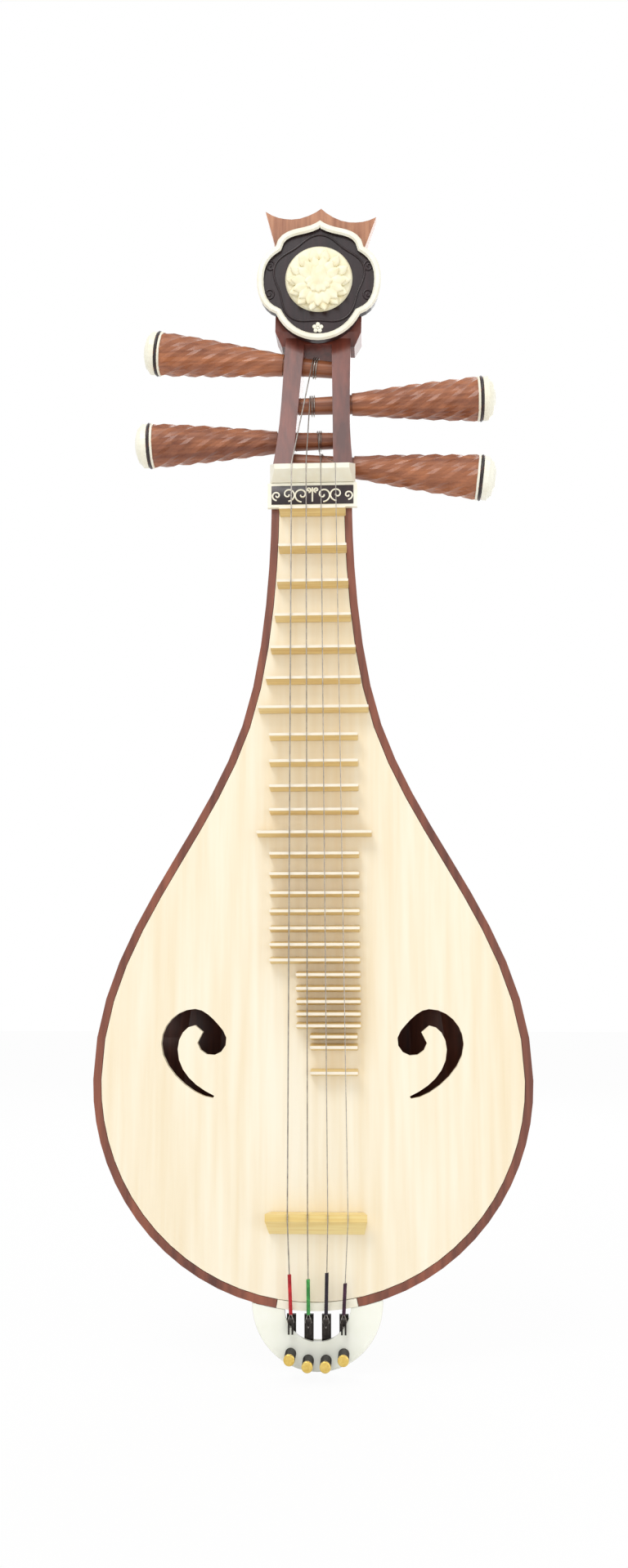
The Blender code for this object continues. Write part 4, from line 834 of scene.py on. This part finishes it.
def floor_finish():
    """White paper to the camera, and plain grey paper to the light."""
    made = bpy.data.materials.new("floor_paper")
    made.use_nodes = True
    nodes, links = made.node_tree.nodes, made.node_tree.links
    shader = nodes["Principled BSDF"]
    shader.inputs["Base Color"].default_value = (FLOOR_GREY, FLOOR_GREY, FLOOR_GREY, 1)
    shader.inputs["Roughness"].default_value = FLOOR_ROUGHNESS
    glow = nodes.new("ShaderNodeEmission")
    path = nodes.new("ShaderNodeLightPath")
    seen = nodes.new("ShaderNodeMath")
    seen.operation = "MULTIPLY"
    seen.inputs[1].default_value = FLOOR_GLOW_SHARE
    mix = nodes.new("ShaderNodeMixShader")
    links.new(path.outputs["Is Camera Ray"], seen.inputs[0])
    links.new(seen.outputs[0], mix.inputs[0])
    links.new(shader.outputs[0], mix.inputs[1])
    links.new(glow.outputs[0], mix.inputs[2])
    links.new(mix.outputs[0], nodes["Material Output"].inputs["Surface"])
    return made


def add_floor(scene):
    """A wide floor just under the lute."""
    form = bmesh.new()
    low = CAD_BOX[0][2] - FLOOR_DROP
    bmesh.ops.create_grid(
        form, x_segments=1, y_segments=1, size=FLOOR_REACH, matrix=Matrix.Translation((0, 0, low))
    )
    mesh = bpy.data.meshes.new("floor")
    form.to_mesh(mesh)
    form.free()
    floor = bpy.data.objects.new("floor", mesh)
    scene.collection.objects.link(floor)
    mesh.materials.append(floor_finish())


def add_world(scene):
    """An even white sky, brighter to the camera and in reflections than as light."""
    world = bpy.data.worlds.new("studio")
    scene.world = world
    world.use_nodes = True
    nodes, links = world.node_tree.nodes, world.node_tree.links
    sky = nodes["Background"]
    sky.inputs["Color"].default_value = (1, 1, 1, 1)
    path = nodes.new("ShaderNodeLightPath")
    widest = nodes.new("ShaderNodeMath")
    widest.operation = "MAXIMUM"
    links.new(path.outputs["Is Camera Ray"], widest.inputs[0])
    links.new(path.outputs["Is Glossy Ray"], widest.inputs[1])
    level = nodes.new("ShaderNodeMapRange")
    level.inputs["To Min"].default_value = WORLD_LIGHT
    level.inputs["To Max"].default_value = WORLD_SEEN
    links.new(widest.outputs[0], level.inputs["Value"])
    links.new(level.outputs["Result"], sky.inputs["Strength"])


def add_lamps(scene):
    """The area lamps, all turned to the lute's middle."""
    for name, place, power, size in LAMPS:
        light = bpy.data.lights.new(name, "AREA")
        light.energy = power
        light.size = size
        lamp = bpy.data.objects.new(name, light)
        lamp.location = place
        aim = LAMP_AIM - Vector(place)
        lamp.rotation_euler = aim.to_track_quat("-Z", "Y").to_euler()
        scene.collection.objects.link(lamp)


# The operators


class LIUQIN_OT_stage(bpy.types.Operator):
    """Sets up the camera, the floor, the sky and the lamps."""

    bl_idname = "liuqin.stage"
    bl_label = "Stage"

    def execute(self, context):
        scene = context.scene
        scene.view_settings.view_transform = "Standard"
        add_camera(scene)
        add_floor(scene)
        add_world(scene)
        add_lamps(scene)
        return {"FINISHED"}


class LIUQIN_OT_finishes(bpy.types.Operator):
    """Makes every finish and gives each solid its own."""

    bl_idname = "liuqin.finishes"
    bl_label = "Finishes"

    def execute(self, context):
        FINISH.update(wood_finishes(context.scene.liuqin_woods))
        FINISH.update(other_finishes())
        FINISH.update(silk_finishes(context.scene.liuqin_silks))
        paint_frame()
        return {"FINISHED"}


class LIUQIN_OT_lotus(bpy.types.Operator):
    """Carves the lotus in place of the plain medallion."""

    bl_idname = "liuqin.lotus"
    bl_label = "Lotus"

    def execute(self, context):
        petals = make_petals()
        seat = make_seat()
        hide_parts("lotus_medallion")
        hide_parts("lotus_medallion")
        return {"FINISHED"}


class LIUQIN_OT_carving(bpy.types.Operator):
    """Adds the raised line, the small scrolls and the flower round the medallion."""

    bl_idname = "liuqin.carving"
    bl_label = "Head carving"

    def execute(self, context):
        sizes = context.scene.liuqin_sizes
        lift = PLATE_FRONT - CARVING_LIFT
        line = [cartouche_points(lift)]
        wire_piece("cartouche_line", line, sizes.line_wire, "ebony", cyclic=True)
        wire_piece("head_scrolls", head_scroll_runs(lift), sizes.scroll_wire, "ebony")
        make_flower(lift)
        return {"FINISHED"}


class LIUQIN_OT_inlay(bpy.types.Operator):
    """Adds the dark panel on the nut plate and its bone vine scrolls."""

    bl_idname = "liuqin.inlay"
    bl_label = "Plate inlay"

    def execute(self, context):
        sizes = context.scene.liuqin_sizes
        low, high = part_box("nut_plate")
        middle = (low + high) / 2
        make_panel(middle, low, high)
        runs = plate_scroll_runs(middle, low.y)
        wire_piece("plate_scrolls", runs, sizes.inlay_wire, "bone")
        return {"FINISHED"}


class LIUQIN_OT_rings(bpy.types.Operator):
    """Puts a dark ring and a bone ring round each peg's big end, turning with it."""

    bl_idname = "liuqin.rings"
    bl_label = "Peg rings"

    def execute(self, context):
        wire = context.scene.liuqin_sizes.ring_wire
        for joint in frame["joints"]:
            if not joint["name"].startswith("turn_peg_"):
                continue
            body = joint["child"]
            matrix = axis_matrix(joint["pos_m"], joint["axis"])
            for name, material, inside, behind in PEG_RINGS:
                ring = ring_points(matrix, PEG_END_RADIUS - inside, PEG_REACH - behind)
                wire_piece(f"{body}_{name}", [ring], wire, material, body, cyclic=True)
        return {"FINISHED"}


class LIUQIN_OT_knobs(bpy.types.Operator):
    """Makes a knurled barrel, a gilt cap and a shank for each fine tuner."""

    bl_idname = "liuqin.knobs"
    bl_label = "Tuner knobs"

    def execute(self, context):
        knurl_depth = context.scene.liuqin_sizes.knurl_depth
        for number in range(1, TUNER_COUNT + 1):
            body = f"tuner_screw_{number}"
            low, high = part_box(body)
            middle = (low + high) / 2
            radius = (high.x - low.x) / 2
            seam = low.y + GILT_LENGTH
            barrel = make_barrel(number, body, middle, seam, radius, knurl_depth)
            gilt = make_gilt_cap(number, body, middle, low.y, seam, radius)
            shank = make_shank(number, body, middle, high.y)
            for piece in (barrel, gilt, shank):
                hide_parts(body)
        return {"FINISHED"}


class LIUQIN_OT_silks(bpy.types.Operator):
    """Winds the silk on the strings' ends and adds the silver loops to the hooks."""

    bl_idname = "liuqin.silks"
    bl_label = "Silks"

    def execute(self, context):
        sizes = context.scene.liuqin_sizes
        for number, colour in enumerate(SILK_FINISHES, 1):
            mesh = frame["nodes"][f"string_{number}"].data
            end = string_end(mesh)
            matrix = axis_matrix(end, string_climb(mesh, end))
            length = sizes.silk_lengths[number - 1]
            turns = int(length * SILK_TURNS_PER_METRE)
            wrap = [coil_points(matrix, SILK_RADIUS, SILK_START, length, turns)]
            name = f"string_silk_{number}"
            wire_piece(name, wrap, sizes.silk_thread, colour)
            low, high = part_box(f"tuner_lever_{number}")
            runs = loop_runs(end, low, high)
            name = f"string_loop_{number}"
            wire_piece(name, runs, sizes.loop_wire, "string_steel")
        return {"FINISHED"}


OPERATORS = (
    LIUQIN_OT_stage, LIUQIN_OT_finishes, LIUQIN_OT_lotus, LIUQIN_OT_carving, LIUQIN_OT_inlay,
    LIUQIN_OT_rings, LIUQIN_OT_knobs, LIUQIN_OT_silks,
)


class LiuqinPanel(bpy.types.Panel):
    """Lists the settings and the operators in the sidebar."""

    bl_idname = "VIEW3D_PT_liuqin"
    bl_label = "Liuqin"
    bl_space_type = "VIEW_3D"
    bl_region_type = "UI"
    bl_category = "Liuqin"

    def draw(self, context):
        scene = context.scene
        for settings in (scene.liuqin_woods, scene.liuqin_silks, scene.liuqin_sizes):
            for name in type(settings).__annotations__:
                self.layout.prop(settings, name)
        for kind in OPERATORS:
            self.layout.operator(kind.bl_idname)


CLASSES = (WoodColours, SilkColours, TrimSizes, *OPERATORS, LiuqinPanel)


def register():
    """Adds the settings, the operators and the panel."""
    for entry in CLASSES:
        bpy.utils.register_class(entry)
    bpy.types.Scene.liuqin_woods = bpy.props.PointerProperty(type=WoodColours)
    bpy.types.Scene.liuqin_silks = bpy.props.PointerProperty(type=SilkColours)
    bpy.types.Scene.liuqin_sizes = bpy.props.PointerProperty(type=TrimSizes)


def unregister():
    """Removes what register added."""
    del bpy.types.Scene.liuqin_sizes
    del bpy.types.Scene.liuqin_silks
    del bpy.types.Scene.liuqin_woods
    for entry in reversed(CLASSES):
        bpy.utils.unregister_class(entry)


def main():
    """Makes everything."""
    register()
    bpy.ops.liuqin.stage()
    bpy.ops.liuqin.finishes()
    bpy.ops.liuqin.lotus()
    bpy.ops.liuqin.carving()
    bpy.ops.liuqin.inlay()
    bpy.ops.liuqin.rings()
    bpy.ops.liuqin.knobs()
    bpy.ops.liuqin.silks()


if __name__ == "__main__":
    main()
